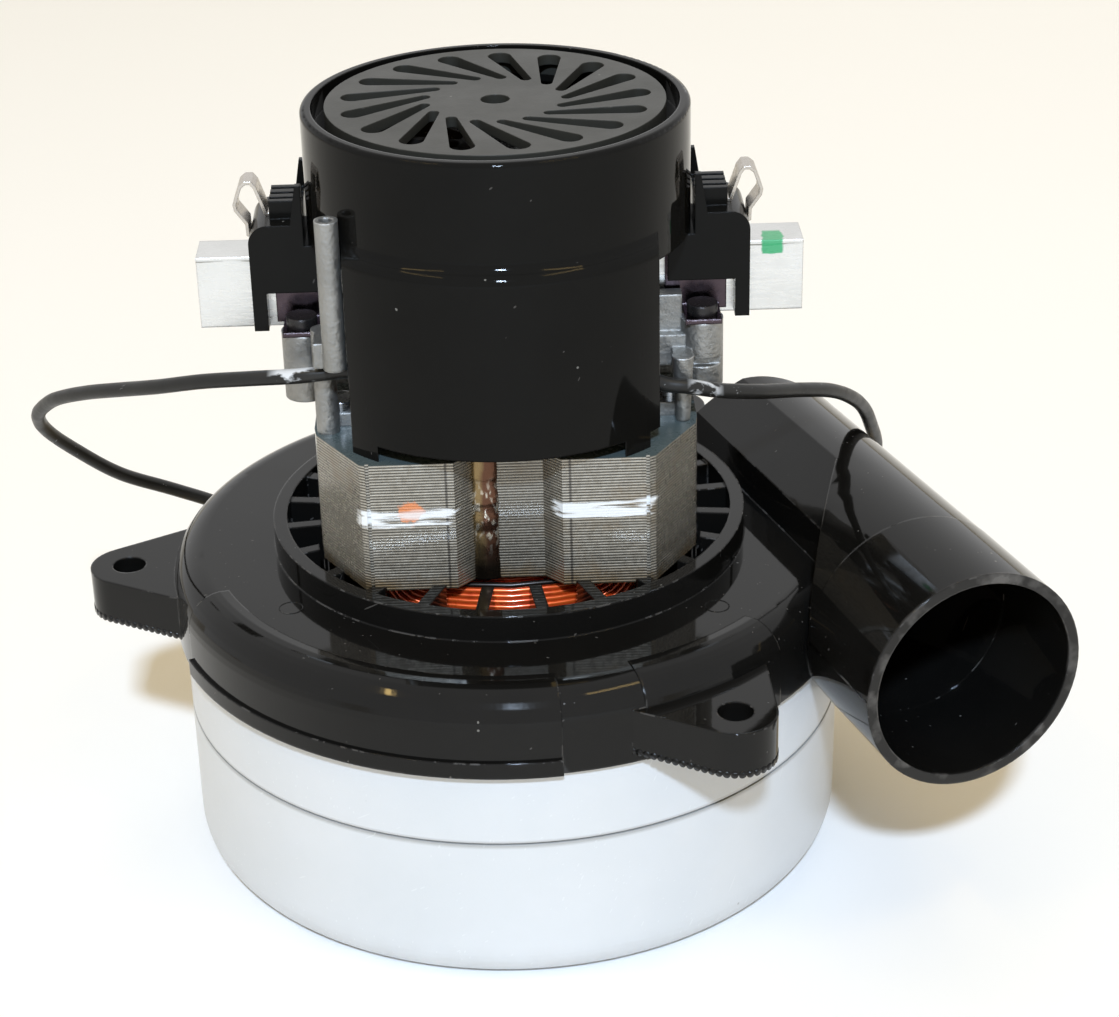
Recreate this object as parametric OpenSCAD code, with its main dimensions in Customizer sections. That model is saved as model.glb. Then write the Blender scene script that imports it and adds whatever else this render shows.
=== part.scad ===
// Two-stage bypass vacuum motor with a tangential discharge horn.
// The origin is the centre of the case's bottom face, and +Z runs up along the shaft.

/* [Fan case] */
// Outside diameter of the pressed steel case
case_d = 145; // [142:0.5:148]
// Sheet thickness of the case
case_t = 0.9; // [0.7:0.05:1.2]
// Height of the seam between the two shells
seam_z = 34.2; // [32:0.1:38]
// Gap that shows at the seam
seam_gap = 0.4; // [0.2:0.1:0.8]
// Radius of the rolled bottom corner
case_corner_r = 6.4; // [5:0.1:8]
// Bore of the inlet eye
inlet_d = 44; // [40:0.5:48]
// Height of the inlet eye's turned-in lip
inlet_lip = 6; // [4:0.5:7]

/* [Fans] */
// Diameter of both rotating fans
fan_d = 124; // [116:1:130]
// Sheet thickness of the fans
fan_t = 0.8; // [0.6:0.1:1]
// Blade height of the lower fan
lower_blade_h = 11.2; // [9:0.1:13]
// Blade height of the upper fan
upper_blade_h = 13; // [11:0.1:15]
// Vane height of the stationary fan
vane_h = 7; // [5:0.1:9]
// Eye diameter of both rotating fans
eye_d = 47; // [45:0.5:52]
// Blades on a rotating fan
blade_count = 7; // [5:1:9]
// Room between the case floor and the lower fan
floor_room = 4.1; // [3:0.1:6]
// Room between a rotating fan and the stationary fan
stage_room = 2.4; // [1.5:0.1:4]
// Height of the collecting chamber above the upper fan
scroll_room = 12; // [10:0.1:14]

/* [Fan bracket] */
// Wall of the moulded bracket
bracket_t = 3.2; // [2.5:0.1:4]
// Outside diameter of the skirt round the case
skirt_d = 148; // [147:0.5:151]
// Depth that the skirt laps down over the case
skirt_lap = 10.5; // [8:0.1:13]
// Height of the lip along the skirt's lower edge
lip_h = 3.6; // [2:0.1:5]
// How far the lip stands out of the skirt
lip_out = 1; // [0.5:0.1:1.5]
// Height from the bowl floor's underside to the top of the deck
deck_h = 11.3; // [10:0.1:13]
// Radius of the deck's outer shoulder
shoulder_r = 7; // [4:0.1:7.2]
// Outside diameter of the vent ring
ring_d = 103; // [102:0.5:106]
// Height of the vent ring above the deck
ring_h = 5.9; // [4:0.1:7]
// Width of the vent ring's rim
rim_w = 3; // [2:0.1:4]
// Bars across the vent ring
bar_count = 24; // [16:1:30]
// Width of a vent bar
bar_w = 2.6; // [2:0.1:4]

/* [Mounting ears] */
// Pitch circle diameter of the ear holes
ear_pcd = 168; // [165:1:172]
// Hole diameter in an ear
ear_hole_d = 7.2; // [6:0.1:8]
// Thickness of an ear
ear_t = 9.5; // [7:0.1:11]
// Tip radius of an ear
ear_tip_r = 8.5; // [7:0.1:10]
// Half width of an ear at its root
ear_root = 17; // [13:0.5:19]
// Direction of the first ear
ear_angle = 181; // [175:1:185]

/* [Discharge horn] */
// Outside diameter of the horn
horn_d = 48; // [46:0.5:50]
// Wall of the horn
horn_t = 2.2; // [1.8:0.1:3]
// Distance of the horn's axis from the shaft
horn_offset = 67.7; // [66:0.1:70]
// Length of the horn from its tangent point to its mouth
horn_reach = 87.7; // [80:0.1:95]
// Length of the horn's full round end, on its inner side
horn_round = 27.2; // [26:0.1:32]
// Direction in which the horn points
horn_angle = -71; // [-80:1:-60]

/* [Field core] */
// Half depth of the field core, front to back
core_y = 35; // [34:0.1:36]
// How far the sides of the field core stand out from the drum above
core_side = 0.2; // [0:0.1:1]
// Height of the stack
core_h = 28.8; // [26:0.1:32]
// Bore that the armature turns in
core_bore_d = 41.2; // [40.8:0.1:42]
// Depth of the notch in the front and back
notch_depth = 4; // [3:0.1:5]

/* [Field coils] */
// Diameter of the drawn wire
wire_d = 1.6; // [1.4:0.05:1.8]
// Loops in the outer layer
loop_count = 12; // [8:1:14]
// Half thickness of the coil away from its pole
coil_u = 4.4; // [4:0.1:4.8]
// Half thickness of the coil along its pole
coil_v = 5.2; // [4.8:0.1:5.6]
// How far the ends of the coil bow out
coil_bow = 6; // [3:0.5:7]

/* [Armature] */
// Air gap between the armature and the field core
air_gap = 0.6; // [0.4:0.05:0.8]
// Shaft diameter
shaft_d = 8; // [7.5:0.1:8.2]
// Slots in the armature core
slot_count = 12; // [10:1:14]
// Diameter of the commutator
comm_d = 26.4; // [25:0.1:28]
// Length of the commutator
comm_l = 22; // [20:0.5:24]
// Bars of the commutator
comm_bars = 24; // [20:2:28]

/* [Bearings] */
// Outside diameter of a bearing
bearing_d = 22; // [21:0.5:23]
// Width of a bearing
bearing_w = 7; // [6.5:0.1:8]
// Ball diameter
ball_d = 3.96; // [3.6:0.02:4.2]
// Balls in a bearing
ball_count = 7; // [6:1:8]

/* [Brush gear] */
// Height of the brush axis above the field core
brush_h = 26.7; // [25.5:0.1:28]
// Width of a brush tube
tube_w = 10; // [9:0.1:11]
// Height of a brush tube
tube_h = 15.5; // [14:0.1:17]
// Sheet thickness of a brush tube
tube_t = 0.8; // [0.6:0.1:1.2]
// Distance from the shaft to the outer end of a brush tube
tube_end = 63; // [61:0.5:66]
// Length of a carbon brush
brush_l = 24; // [20:0.5:28]
// Diameter of the brush spring's wire
spring_wire_d = 0.9; // [0.7:0.05:1]
// Curls in a brush spring
spring_turns = 6; // [5:1:7]

/* [Motor cover] */
// Outside diameter of the cover's drum
drum_d = 79.6; // [78:0.2:80]
// Wall of the cover
cover_t = 2.2; // [1.6:0.1:2.6]
// Height of the cover above the field core
cover_h = 65; // [64:0.5:68]
// Height of the step between the panels and the drum
step_h = 40.5; // [39.5:0.5:43]
// Width of the front and back panels
panel_w = 63; // [61:0.5:65]
// How far the panels stand out from the drum
panel_out = 2.5; // [1.8:0.1:2.8]
// Height of the curved slope from the panels up to the drum
slope_h = 4.6; // [4:0.1:5.4]
// Gap between the lower edge of the panels and the field core
panel_gap = 3.4; // [2.4:0.1:4]
// Width of the groove round the intake grille
grille_groove = 2.8; // [2.2:0.1:3.4]
// Slots in the intake grille
grille_slots = 17; // [12:1:19]

/* [Leads] */
// Diameter of a lead
lead_d = 3.2; // [2.8:0.1:3.4]

/* [Fits] */
// Gap between pieces that are pushed together by hand
slip = 0.05; // [0.03:0.01:0.1]
// Gap round pieces that are dropped in place
loose = 0.15; // [0.1:0.01:0.25]
// Gap round the parts of the coils
coil_gap = 0.3; // [0.2:0.05:0.4]

/* [Hidden] */
$fn = 96;
big = 400;

// Colours as the real pieces show them
paint_grey = [0.72, 0.77, 0.80];
moulded_black = [0.05, 0.05, 0.055];
steel = [0.62, 0.63, 0.65];
cast_alloy = [0.68, 0.68, 0.67];
sheet_alloy = [0.82, 0.83, 0.84];
lamination = [0.42, 0.41, 0.38];
copper = [0.72, 0.32, 0.14];
carbon = [0.14, 0.14, 0.15];
dark_steel = [0.16, 0.14, 0.14];
resin = [0.35, 0.20, 0.12];

// Heights up the shaft, from the case floor to the cover's top
case_r = case_d / 2;
lower_fan_z = case_t + floor_room;
lower_back_z = lower_fan_z + fan_t + lower_blade_h;
stator_fan_z = lower_back_z + fan_t + stage_room;
stator_top_z = stator_fan_z + fan_t + vane_h;
upper_fan_z = stator_top_z + fan_t + stage_room;
upper_back_z = upper_fan_z + fan_t + upper_blade_h;
bracket_z = upper_back_z + fan_t + scroll_room;
floor_top = bracket_z + bracket_t;
deck_z = bracket_z + deck_h;
ring_z = deck_z + ring_h;
ledge_z = bracket_z + 4;
core_z = ring_z - 2;
core_top = core_z + core_h;
brush_z = core_top + brush_h;
comm_z = brush_z - comm_l / 2;
comm_top = comm_z + comm_l;
cover_top = core_top + cover_h;
step_z = core_top + step_h;

// Fan case and its stack
washer_t = 1.2;
washer_r = 13;
nut_h = 6.5;
nut_af = 13;
spacer_r = 7;
collar_r = case_r - case_t - slip;
flange_w = 1.6;
fan_r = fan_d / 2;
eye_r = eye_d / 2;
diffuser_r = collar_r - case_t - slip;
diffuser_low_r = diffuser_r - 6;
hub_bore_r = shaft_d / 2 + slip;
blade_set = 0.2;

// Bearings: the lower one sits in the bracket, the upper one in the alloy bracket
bearing_z = bracket_z - 2;
bearing2_z = comm_top + 2;
bearing_r = bearing_d / 2;
ball_pitch_r = (bearing_r + shaft_d / 2) / 2;
race_gap = 0.07;
race_half = 1.3;

// Fan bracket
hub_z = bracket_z - 3.5;
hub_r = 19;
retainer_t = 1.2;
retainer_screw_r = 1.5;
retainer_head_r = 2.6;
retainer_head_h = 1.8;
retainer_screw_l = 5;
retainer_pcd_r = 15.2;
skirt_r = skirt_d / 2;
skirt_in = case_r + loose;
skirt_z = ledge_z - skirt_lap;
ring_r = ring_d / 2;
rim_in = ring_r - rim_w;
bolt_x = 34.5;
bolt_y = 12;
bolt_r = 2;
pedestal_r = 4.6;
core_room = 0.8;
bar_in = 37.5;
lip_start = 203;
lip_sweep = 74;

// Horn frame: u runs out from the shaft across the horn, v runs along it to the mouth
horn_r = horn_d / 2;
horn_z = ledge_z;
scroll_in = 54.5;
scroll_edge_h = 8.7;
scroll_slope = 0.67;
horn_cut = 56;
cap_r = 28;
cap_top_r = 16;
cap_rise = 21;
cap_z = deck_z + 1.3;
horn_step = 0.1;
horn_draft = 1;

// Field core and coils
core_x = drum_d / 2 + core_side;
coil_x = 23.6;
coil_y = 20.4;
coil_round = 6;
bundle_round = 2;
slot_room = 0.5;
slot_x0 = coil_x - coil_u - wire_d / 2 - slot_room;
slot_x1 = coil_x + coil_u + wire_d / 2 + slot_room;
slot_y1 = coil_y + coil_v + wire_d / 2 + slot_room;
tip_r = core_bore_d / 2 + 2.6;
gap_half_y = 9.5;
coil_half_h = core_h / 2 + coil_gap + coil_u + wire_d / 2;
coil_mid_z = core_z + core_h / 2;

// Brush gear
tube_in = comm_d / 2 + 3;
brush_gap = 0.3;
brush_clear = 0.1;
brush_in = comm_d / 2 + brush_gap;
spring_r = 2.8;
clamp_t = 1;
clamp_foot_z = brush_z - 5.5;
housing_y = 9;
housing_in = drum_d / 2 + coil_gap;
housing_out = housing_in + 11.4;
cheek_in = housing_in - 5.6;
cheek_room = 0.4;
housing_low = brush_z + 1;
housing_top = brush_z + tube_h / 2 + clamp_t + 7;
leg_low = brush_z - 7.3;
leg_t = 3;
fin_t = 1.6;
fin_h = 8.5;
boss_x = housing_in + 1.4;
boss_y = 10.5;
boss_r = 4.4;
boss_low = core_top + 5.5;
boss_top = clamp_foot_z - clamp_t;
screw_r = 1.5;
screw_head_r = 3.2;
screw_head_h = 2.2;
screw_l = 8;
strap_x = housing_in - 6;
strap_l = 12.8;
strap_foot_l = 7.6;

// Motor cover
drum_r = drum_d / 2;
drum_in = drum_r - cover_t;
panel_r = drum_r + panel_out;
panel_low = core_top + panel_gap;
slope_r = slope_h / 2 / sin(2 * atan(panel_out / slope_h));
slope_set = 0.05;
cover_ledge = 4.5;
cover_ledge_z = cover_top - 6.5;
grille_r = drum_in - grille_groove;
grille_t = 2.2;
rim_round = 1;
panel_back = 24.5;
foot_l = 5.4;
foot_in = 24;
ledge_t = 1.6;
fan2_z = bearing2_z + bearing_w + 3;
fan2_blade_h = 6;
fan2_r = 31;

// Outline of a pan: radius, height and bottom corner radius
module pan_section(r, h, c) {
    translate([0, c]) square([r, h - c]);
    square([r - c, c]);
    translate([r - c, c]) circle(c);
}

module ring(r_out, r_in, z0, h) {
    translate([0, 0, z0]) difference() {
        cylinder(r = r_out, h = h);
        translate([0, 0, -1]) cylinder(r = r_in, h = h + 2);
    }
}

module both_sides() {
    children();
    mirror([1, 0, 0]) children();
}

module four_corners() {
    both_sides() {
        children();
        mirror([0, 1, 0]) children();
    }
}

// A tube of n sides swept along points, with ref never along the path
function unit(v) = v / norm(v);
function tangent(p, i) = unit(p[min(i + 1, len(p) - 1)] - p[max(i - 1, 0)]);
function ring_pts(c, t, ref, r, n) =
    let (a = unit(cross(t, ref)), b = cross(a, t))
    [for (k = [0:n - 1]) c + r * (cos(360 * k / n) * a + sin(360 * k / n) * b)];

module swept_tube(path, r, n, ref) {
    m = len(path);
    pts = [for (i = [0:m - 1]) each ring_pts(path[i], tangent(path, i), ref, r, n)];
    sides = [for (i = [0:m - 2], k = [0:n - 1])
        let (a = i * n + k, b = i * n + (k + 1) % n)
        each [[a, b, a + n], [b, b + n, a + n]]];
    caps = [for (k = [1:n - 2]) each [[0, k + 1, k], [(m - 1) * n, (m - 1) * n + k, (m - 1) * n + k + 1]]];
    polyhedron(points = pts, faces = concat(sides, caps));
}

// Smooth curve through hand-chosen points, sampled at count places
function spline_at(p, t) =
    let (i = min(floor(t), len(p) - 2), f = t - i,
        a = p[max(i - 1, 0)], b = p[i], c = p[i + 1], d = p[min(i + 2, len(p) - 1)])
    0.5 * (2 * b + (c - a) * f + (2 * a - 5 * b + 4 * c - d) * f * f + (3 * b - a - 3 * c + d) * f * f * f);
function spline(p, count) = [for (i = [0:count - 1]) spline_at(p, i * (len(p) - 1) / (count - 1))];

module lower_fan_shell() {
    rim = seam_z - seam_gap / 2;
    color(paint_grey) rotate_extrude() {
        difference() {
            pan_section(case_r, rim, case_corner_r);
            translate([0, case_t]) pan_section(case_r - case_t, rim, case_corner_r - case_t);
            translate([-1, -1]) square([inlet_d / 2 + 1, rim]);
        }
        translate([inlet_d / 2, 0]) square([case_t, inlet_lip]);
    }
}

module upper_fan_shell() {
    rim = seam_z + seam_gap / 2;
    flange_z = stator_top_z - case_t;
    color(paint_grey) {
        ring(case_r, case_r - case_t, rim, ledge_z - rim);
        ring(case_r, collar_r - case_t, rim, case_t);
        ring(collar_r, collar_r - case_t, flange_z, rim + case_t - flange_z);
        ring(collar_r, collar_r - case_t - flange_w, flange_z, case_t);
    }
}

// One curved blade in plan, from radius r0 to r1, bent to radius bend
module blade_plan(r0, r1, sweep, bend, t) {
    a = [r0, 0];
    b = r1 * [cos(sweep), sin(sweep)];
    mid = (a + b) / 2;
    half = norm(b - a) / 2;
    across = [-(b - a)[1], (b - a)[0]] / (2 * half);
    c = mid - sqrt(bend * bend - half * half) * across;
    intersection() {
        translate(c) difference() {
            circle(bend + t / 2);
            circle(bend - t / 2);
        }
        difference() {
            circle(r1);
            circle(r0);
        }
        translate(mid) rotate(atan2(across[1], across[0])) translate([-0.2 * half, -2 * half]) square(4 * half);
    }
}

module blades(r0, r1, count, z0, h, sweep, t) {
    for (i = [0:count - 1])
        rotate(360 * i / count) translate([0, 0, z0]) linear_extrude(h) blade_plan(r0, r1, sweep, 0.75 * r1, t);
}

// A rotating fan: eyed shroud below, blades, and a back plate clamped on the shaft
module impeller(z0, blade_h) {
    ring(fan_r, eye_r, z0, fan_t);
    blades(eye_r + 2, fan_r - 0.6, blade_count, z0 + fan_t - blade_set, blade_h + 2 * blade_set, -55, fan_t);
    ring(fan_r, hub_bore_r, z0 + fan_t + blade_h, fan_t);
}

module lower_fan() {
    color(sheet_alloy) impeller(lower_fan_z, lower_blade_h);
}

module upper_fan() {
    color(sheet_alloy) impeller(upper_fan_z, upper_blade_h);
}

module stationary_fan() {
    color(sheet_alloy) {
        ring(diffuser_low_r, spacer_r + 1.5, stator_fan_z, fan_t);
        blades(eye_r + 4, diffuser_low_r - 0.6, blade_count + 2, stator_fan_z + fan_t - blade_set,
            vane_h + 2 * blade_set, 50, fan_t);
        ring(diffuser_r, eye_r - 4, stator_top_z, fan_t);
    }
}

module fan_spacers() {
    color(steel) {
        ring(spacer_r, hub_bore_r, lower_back_z + fan_t, upper_back_z - lower_back_z - fan_t);
        ring(spacer_r, hub_bore_r, upper_back_z + fan_t + washer_t,
            bearing_z - upper_back_z - fan_t - washer_t);
    }
}

module fan_washers() {
    color(steel) {
        ring(washer_r, hub_bore_r, lower_back_z - washer_t, washer_t);
        ring(washer_r, hub_bore_r, upper_back_z + fan_t, washer_t);
    }
}

module shaft_nut() {
    color(steel) translate([0, 0, lower_back_z - washer_t - nut_h]) difference() {
        cylinder(d = nut_af / cos(30), h = nut_h, $fn = 6);
        translate([0, 0, -1]) cylinder(r = hub_bore_r, h = nut_h + 2);
    }
}

module shaft() {
    low = lower_back_z - washer_t - nut_h - 2;
    shoulder_z = bearing_z + bearing_w;
    color(steel) {
        translate([0, 0, low]) cylinder(d = shaft_d, h = fan2_z + fan2_blade_h + 3 - low);
        translate([0, 0, shoulder_z]) cylinder(d = shaft_d + 3, h = bearing2_z - shoulder_z);
    }
}

module outer_race(z0) {
    translate([0, 0, z0]) rotate_extrude() difference() {
        translate([ball_pitch_r + race_half, 0]) square([bearing_r - slip - ball_pitch_r - race_half, bearing_w]);
        translate([ball_pitch_r, bearing_w / 2]) circle(ball_d / 2 + race_gap);
    }
}

module inner_race(z0) {
    translate([0, 0, z0]) rotate_extrude() difference() {
        translate([hub_bore_r, 0]) square([ball_pitch_r - race_half - hub_bore_r, bearing_w]);
        translate([ball_pitch_r, bearing_w / 2]) circle(ball_d / 2 + race_gap);
    }
}

module race_balls(z0) {
    for (i = [0:ball_count - 1])
        rotate(360 * i / ball_count) translate([ball_pitch_r, 0, z0 + bearing_w / 2]) sphere(d = ball_d, $fn = 32);
}

module lower_bearing_outer() {
    color(steel) outer_race(bearing_z);
}

module lower_bearing_inner() {
    color(steel) inner_race(bearing_z);
}

module lower_bearing_balls() {
    color(steel) race_balls(bearing_z);
}

module upper_bearing_outer() {
    color(steel) outer_race(bearing2_z);
}

module upper_bearing_inner() {
    color(steel) inner_race(bearing2_z);
}

module upper_bearing_balls() {
    color(steel) race_balls(bearing2_z);
}

// A tongue-shaped ear along +X, with its tip round the hole
module ear_plan() {
    hole_r = ear_pcd / 2;
    root_r = skirt_in + 0.6;
    lean = asin((ear_root - ear_tip_r) / norm([hole_r - root_r + ear_tip_r, 0]));
    tip = [hole_r + ear_tip_r * sin(lean), ear_tip_r * cos(lean)];
    base = [root_r * cos(asin(ear_root / root_r)), ear_root];
    polygon([base, tip, [tip[0], -tip[1]], [base[0], -base[1]]]);
    translate([hole_r, 0]) circle(ear_tip_r);
}

module ears() {
    for (i = [0:2]) rotate(ear_angle + 120 * i)
        translate([0, 0, skirt_z + lip_h - 1]) linear_extrude(ear_t) difference() {
            ear_plan();
            circle(skirt_in + 0.4);
        }
}

module ear_holes() {
    for (i = [0:2]) rotate(ear_angle + 120 * i)
        translate([ear_pcd / 2, 0, skirt_z - 1]) cylinder(d = ear_hole_d, h = ear_t + lip_h + 4);
}

// Takes plan coordinates (across, up) and lays them along the horn, from v0 for a length of len
module along_horn(v0, len) {
    rotate(horn_angle) translate([v0, 0, 0]) rotate([90, 0, 90]) linear_extrude(len) children();
}

// What stays of the horn's round section in the scroll: an inner wall and a sloping roof, drawn in by wall
module scroll_section(wall) {
    low = bracket_z + 2;
    edge = deck_z + scroll_edge_h - 0.75 * wall;
    far = horn_offset + 2 * horn_r;
    polygon([[scroll_in + wall, low], [scroll_in + wall, edge], [far, edge + scroll_slope * (far - scroll_in - wall)],
        [far, low - horn_d], [horn_offset, low - horn_d], [horn_offset, low]]);
}

// Rounded back end of the scroll, leaning in above the deck
module scroll_cap(wall) {
    rotate(horn_angle) {
        translate([0, -big / 2, -big / 2]) cube(big);
        translate([0, horn_offset + horn_r + 1 - cap_r, 0])
            rotate_extrude() polygon([[0, 0], [cap_r - wall, 0], [cap_r - wall, cap_z],
                [cap_top_r - wall, cap_z + cap_rise], [0, cap_z + cap_rise]]);
    }
}

// The horn's full round end grows out of a slanted cut across the scroll, which narrows a little to the back
module horn_shape(wall, over) {
    back = horn_reach - horn_round;
    start = back + 0.27 * wall;
    along_horn(start, horn_reach + over - start) translate([horn_offset, horn_z]) circle(horn_r - wall);
    intersection() {
        rotate(horn_angle) translate([-2 * cap_r, horn_offset, horn_z]) rotate([0, 90, 0])
            cylinder(r1 = horn_r - wall - horn_draft, r2 = horn_r - wall - horn_step, h = back + 1 + 2 * cap_r);
        union() {
            rotate(horn_angle) translate([back, horn_offset - horn_r]) rotate(horn_cut)
                translate([wall, -big / 2, -big / 2]) cube(big);
            along_horn(-3 * cap_r, horn_reach + 3 * cap_r) scroll_section(wall);
        }
        scroll_cap(wall);
    }
}

module horn() {
    difference() {
        horn_shape(0, 0);
        translate([0, 0, -1]) cylinder(r = skirt_in, h = ledge_z + 1);
    }
}

// Outline of the deck, its rounded shoulder and the skirt, drawn in by wall
module deck_section(wall) {
    flat_r = skirt_r - shoulder_r;
    square([flat_r, deck_z - wall]);
    square([skirt_r - wall, deck_z - shoulder_r]);
    translate([flat_r, deck_z - shoulder_r]) circle(shoulder_r - wall);
}

module bracket_turned() {
    rotate_extrude() {
        translate([hub_r - 4, bracket_z]) square([ring_r - hub_r + 4, bracket_t]);
        translate([rim_in, bracket_z]) square([rim_w, ring_z - bracket_z]);
        difference() {
            deck_section(0);
            deck_section(bracket_t);
            square([ring_r - 0.1, deck_z + 1]);
            square([skirt_in, ledge_z]);
            square([skirt_r + 1, skirt_z]);
        }
    }
    rotate(lip_start) rotate_extrude(angle = lip_sweep)
        translate([skirt_r - 0.3, skirt_z]) square([lip_out + 0.3, lip_h]);
    translate([0, 0, hub_z]) cylinder(r = hub_r, h = floor_top - hub_z);
    translate([0, 0, floor_top - 0.1]) cylinder(r = hub_r - 4, h = bearing_z + bearing_w + 1.4 - floor_top);
}

module vent_bars() {
    translate([0, 0, floor_top - 0.1]) linear_extrude(ring_z - 0.6 - floor_top) difference() {
        for (i = [0:bar_count - 1]) rotate(360 * (i + 0.5) / bar_count)
            translate([bar_in, -bar_w / 2]) square([rim_in + 0.5 - bar_in, bar_w]);
        polygon(core_outline(core_room));
    }
}

module pedestals() {
    four_corners() translate([bolt_x, bolt_y, floor_top - 0.1])
        cylinder(r = pedestal_r, h = core_z - floor_top + 0.1);
}

module fan_bracket() {
    color(moulded_black) difference() {
        union() {
            bracket_turned();
            vent_bars();
            pedestals();
            ears();
            horn();
        }
        difference() {
            horn_shape(horn_t, 1);
            cylinder(r = ring_r + 1, h = deck_z);
        }
        ear_holes();
        translate([0, 0, hub_z - 1]) cylinder(r = bearing_r, h = bearing_z + bearing_w - hub_z + 1);
        translate([0, 0, hub_z - 1]) cylinder(r = bearing_r - 2.5, h = big);
        for (i = [0:2]) rotate(120 * i) translate([retainer_pcd_r, 0, hub_z - 1])
            cylinder(r = retainer_screw_r - 0.2, h = retainer_screw_l + 2);
        four_corners() translate([bolt_x, bolt_y, floor_top + 1]) cylinder(r = bolt_r + slip, h = big);
    }
}

module bearing_retainer() {
    color(steel) difference() {
        union() {
            ring(hub_r, spacer_r + 0.6, hub_z - retainer_t, retainer_t);
            ring(bearing_r - loose, bearing_r - 2, hub_z - 0.1, bearing_z - hub_z + 0.1);
        }
        for (i = [0:2]) rotate(120 * i) translate([retainer_pcd_r, 0, hub_z - retainer_t - 1])
            cylinder(r = retainer_screw_r + loose, h = retainer_t + 2);
    }
}

module retainer_screws() {
    color(steel) for (i = [0:2]) rotate(120 * i) translate([retainer_pcd_r, 0, hub_z - retainer_t]) {
        translate([0, 0, -retainer_head_h]) cylinder(r = retainer_head_r, h = retainer_head_h);
        cylinder(r = retainer_screw_r - 0.2 - slip, h = retainer_t + retainer_screw_l);
    }
}

// Half outline of one quarter of the core, front middle to side middle, let out by room
function core_quarter(room) = [
    [7.2 - room, notch_depth - core_y - room], [11 - room, -core_y - room],
    [28.2, -core_y - room], [28.2, 0.9 - core_y - room], [29, 0.9 - core_y - room], [29, -core_y - room],
    [30.2 + room / 2, 0.6 - core_y - room], [core_x - 0.5 + room, -19.5 - room / 2], [core_x + room, -16]];
function reversed(p) = [for (i = [len(p) - 1:-1:0]) p[i]];
function core_outline(room) = let (q = core_quarter(room)) concat(q,
    [for (p = reversed(q)) [p[0], -p[1]]], [for (p = q) [-p[0], -p[1]]], [for (p = reversed(q)) [-p[0], p[1]]]);

module core_cavity() {
    circle(d = core_bore_d);
    translate([-slot_x1, -gap_half_y]) square([2 * slot_x1, 2 * gap_half_y]);
    difference() {
        for (sx = [-1, 1], sy = [-1, 1]) scale([sx, sy])
            translate([slot_x0, gap_half_y - 1]) square([slot_x1 - slot_x0, slot_y1 - gap_half_y + 1]);
        circle(tip_r);
    }
}

module field_core() {
    color(lamination) translate([0, 0, core_z]) difference() {
        linear_extrude(core_h) difference() {
            polygon(core_outline(0));
            core_cavity();
        }
        four_corners() translate([bolt_x, bolt_y, -1]) cylinder(r = bolt_r + loose, h = core_h + 2);
    }
}

// A coil round the front pole is a rounded oblong: ring i of rings_per_loop starts at the top middle,
// six rings to a quarter, and u and v step across the bundle
rings_per_loop = 24;
function coil_plan(i, u) =
    let (q = floor(i / 6) % 4, m = i % 6, a = 90 - 90 * q - 22.5 * (m - 1),
        cx = (coil_x - coil_round) * (q < 2 ? 1 : -1), cz = (coil_half_h - coil_round) * (q % 3 == 0 ? 1 : -1))
    m > 0 ? [cx + (coil_round + u) * cos(a), cz + (coil_round + u) * sin(a)]
    : [(coil_x + u) * [0, 1, 0, -1][q], (coil_half_h + u) * [1, 0, -1, 0][q]];
function coil_lean(i) =
    let (q = floor(i / 6) % 4, m = i % 6)
    m > 0 ? 0.45 * pow(sin(90 - 90 * q - 22.5 * (m - 1)), 2) : 1 - q % 2;
function coil_at(i, u, v) = let (p = coil_plan(i, u)) [
    p[0], v - coil_y - coil_bow * coil_lean(i), coil_mid_z + p[1]];

// Place across the bundle after a distance s along three of its sides, round two corners
side_u = 2 * coil_u - bundle_round;
side_v = 2 * (coil_v - bundle_round);
turn_l = bundle_round * PI / 2;
bundle_len = 2 * side_u + side_v + 2 * turn_l;
function bundle_turn(s, v, a0) =
    let (a = a0 + 90 * s / turn_l)
    [coil_u - bundle_round + bundle_round * cos(a), v * (coil_v - bundle_round) + bundle_round * sin(a)];
function bundle_at(s) =
    s < side_u ? [s - coil_u, -coil_v]
    : s < side_u + turn_l ? bundle_turn(s - side_u, -1, -90)
    : s < side_u + turn_l + side_v ? [coil_u, s - side_u - turn_l - side_v / 2]
    : s < side_u + 2 * turn_l + side_v ? bundle_turn(s - side_u - turn_l - side_v, 1, 0)
    : [coil_u - bundle_round - (s - side_u - 2 * turn_l - side_v), coil_v];
function winding_at(i) =
    let (w = bundle_at(bundle_len * i / (rings_per_loop * loop_count)))
    coil_at(i, w[0], w[1]);
coil_path = [for (i = [0:rings_per_loop * loop_count]) winding_at(i)];
function straight_ends(p, d) = let (n = len(p)) concat(
    [p[0] - d * unit(p[1] - p[0])], p, [p[n - 1] + d * unit(p[n - 1] - p[n - 2])]);
coil_self_gap = min([for (i = [0:rings_per_loop * (loop_count - 1)], k = [-2:2])
    norm(coil_path[i] - coil_path[min(i + rings_per_loop + k, len(coil_path) - 1)])]) - wire_d;
echo(coil_self_gap = coil_self_gap);

module coil_wire() {
    swept_tube(straight_ends(coil_path, wire_d), wire_d / 2, 6, [0, 1, 0]);
}

// The plain wound middle of a coil, under its outer layer
module coil_former() {
    hu = coil_u - wire_d / 2 - coil_gap;
    hv = coil_v - wire_d / 2 - coil_gap;
    n = rings_per_loop;
    cut = 0.6 * bundle_round;
    section = [[-hu, -hv], [hu - cut, -hv], [hu, cut - hv], [hu, hv - cut], [hu - cut, hv], [-hu, hv]];
    m = len(section);
    pts = [for (i = [0:n - 1], c = section) coil_at(i, c[0], c[1])];
    faces = [for (i = [0:n - 1], k = [0:m - 1])
        let (j = (i + 1) % n, a = i * m + k, b = i * m + (k + 1) % m, c = j * m + k, d = j * m + (k + 1) % m)
        each [[a, b, c], [b, d, c]]];
    polyhedron(points = pts, faces = faces);
}

module field_coil_front() {
    color(copper) coil_wire();
}

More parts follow.
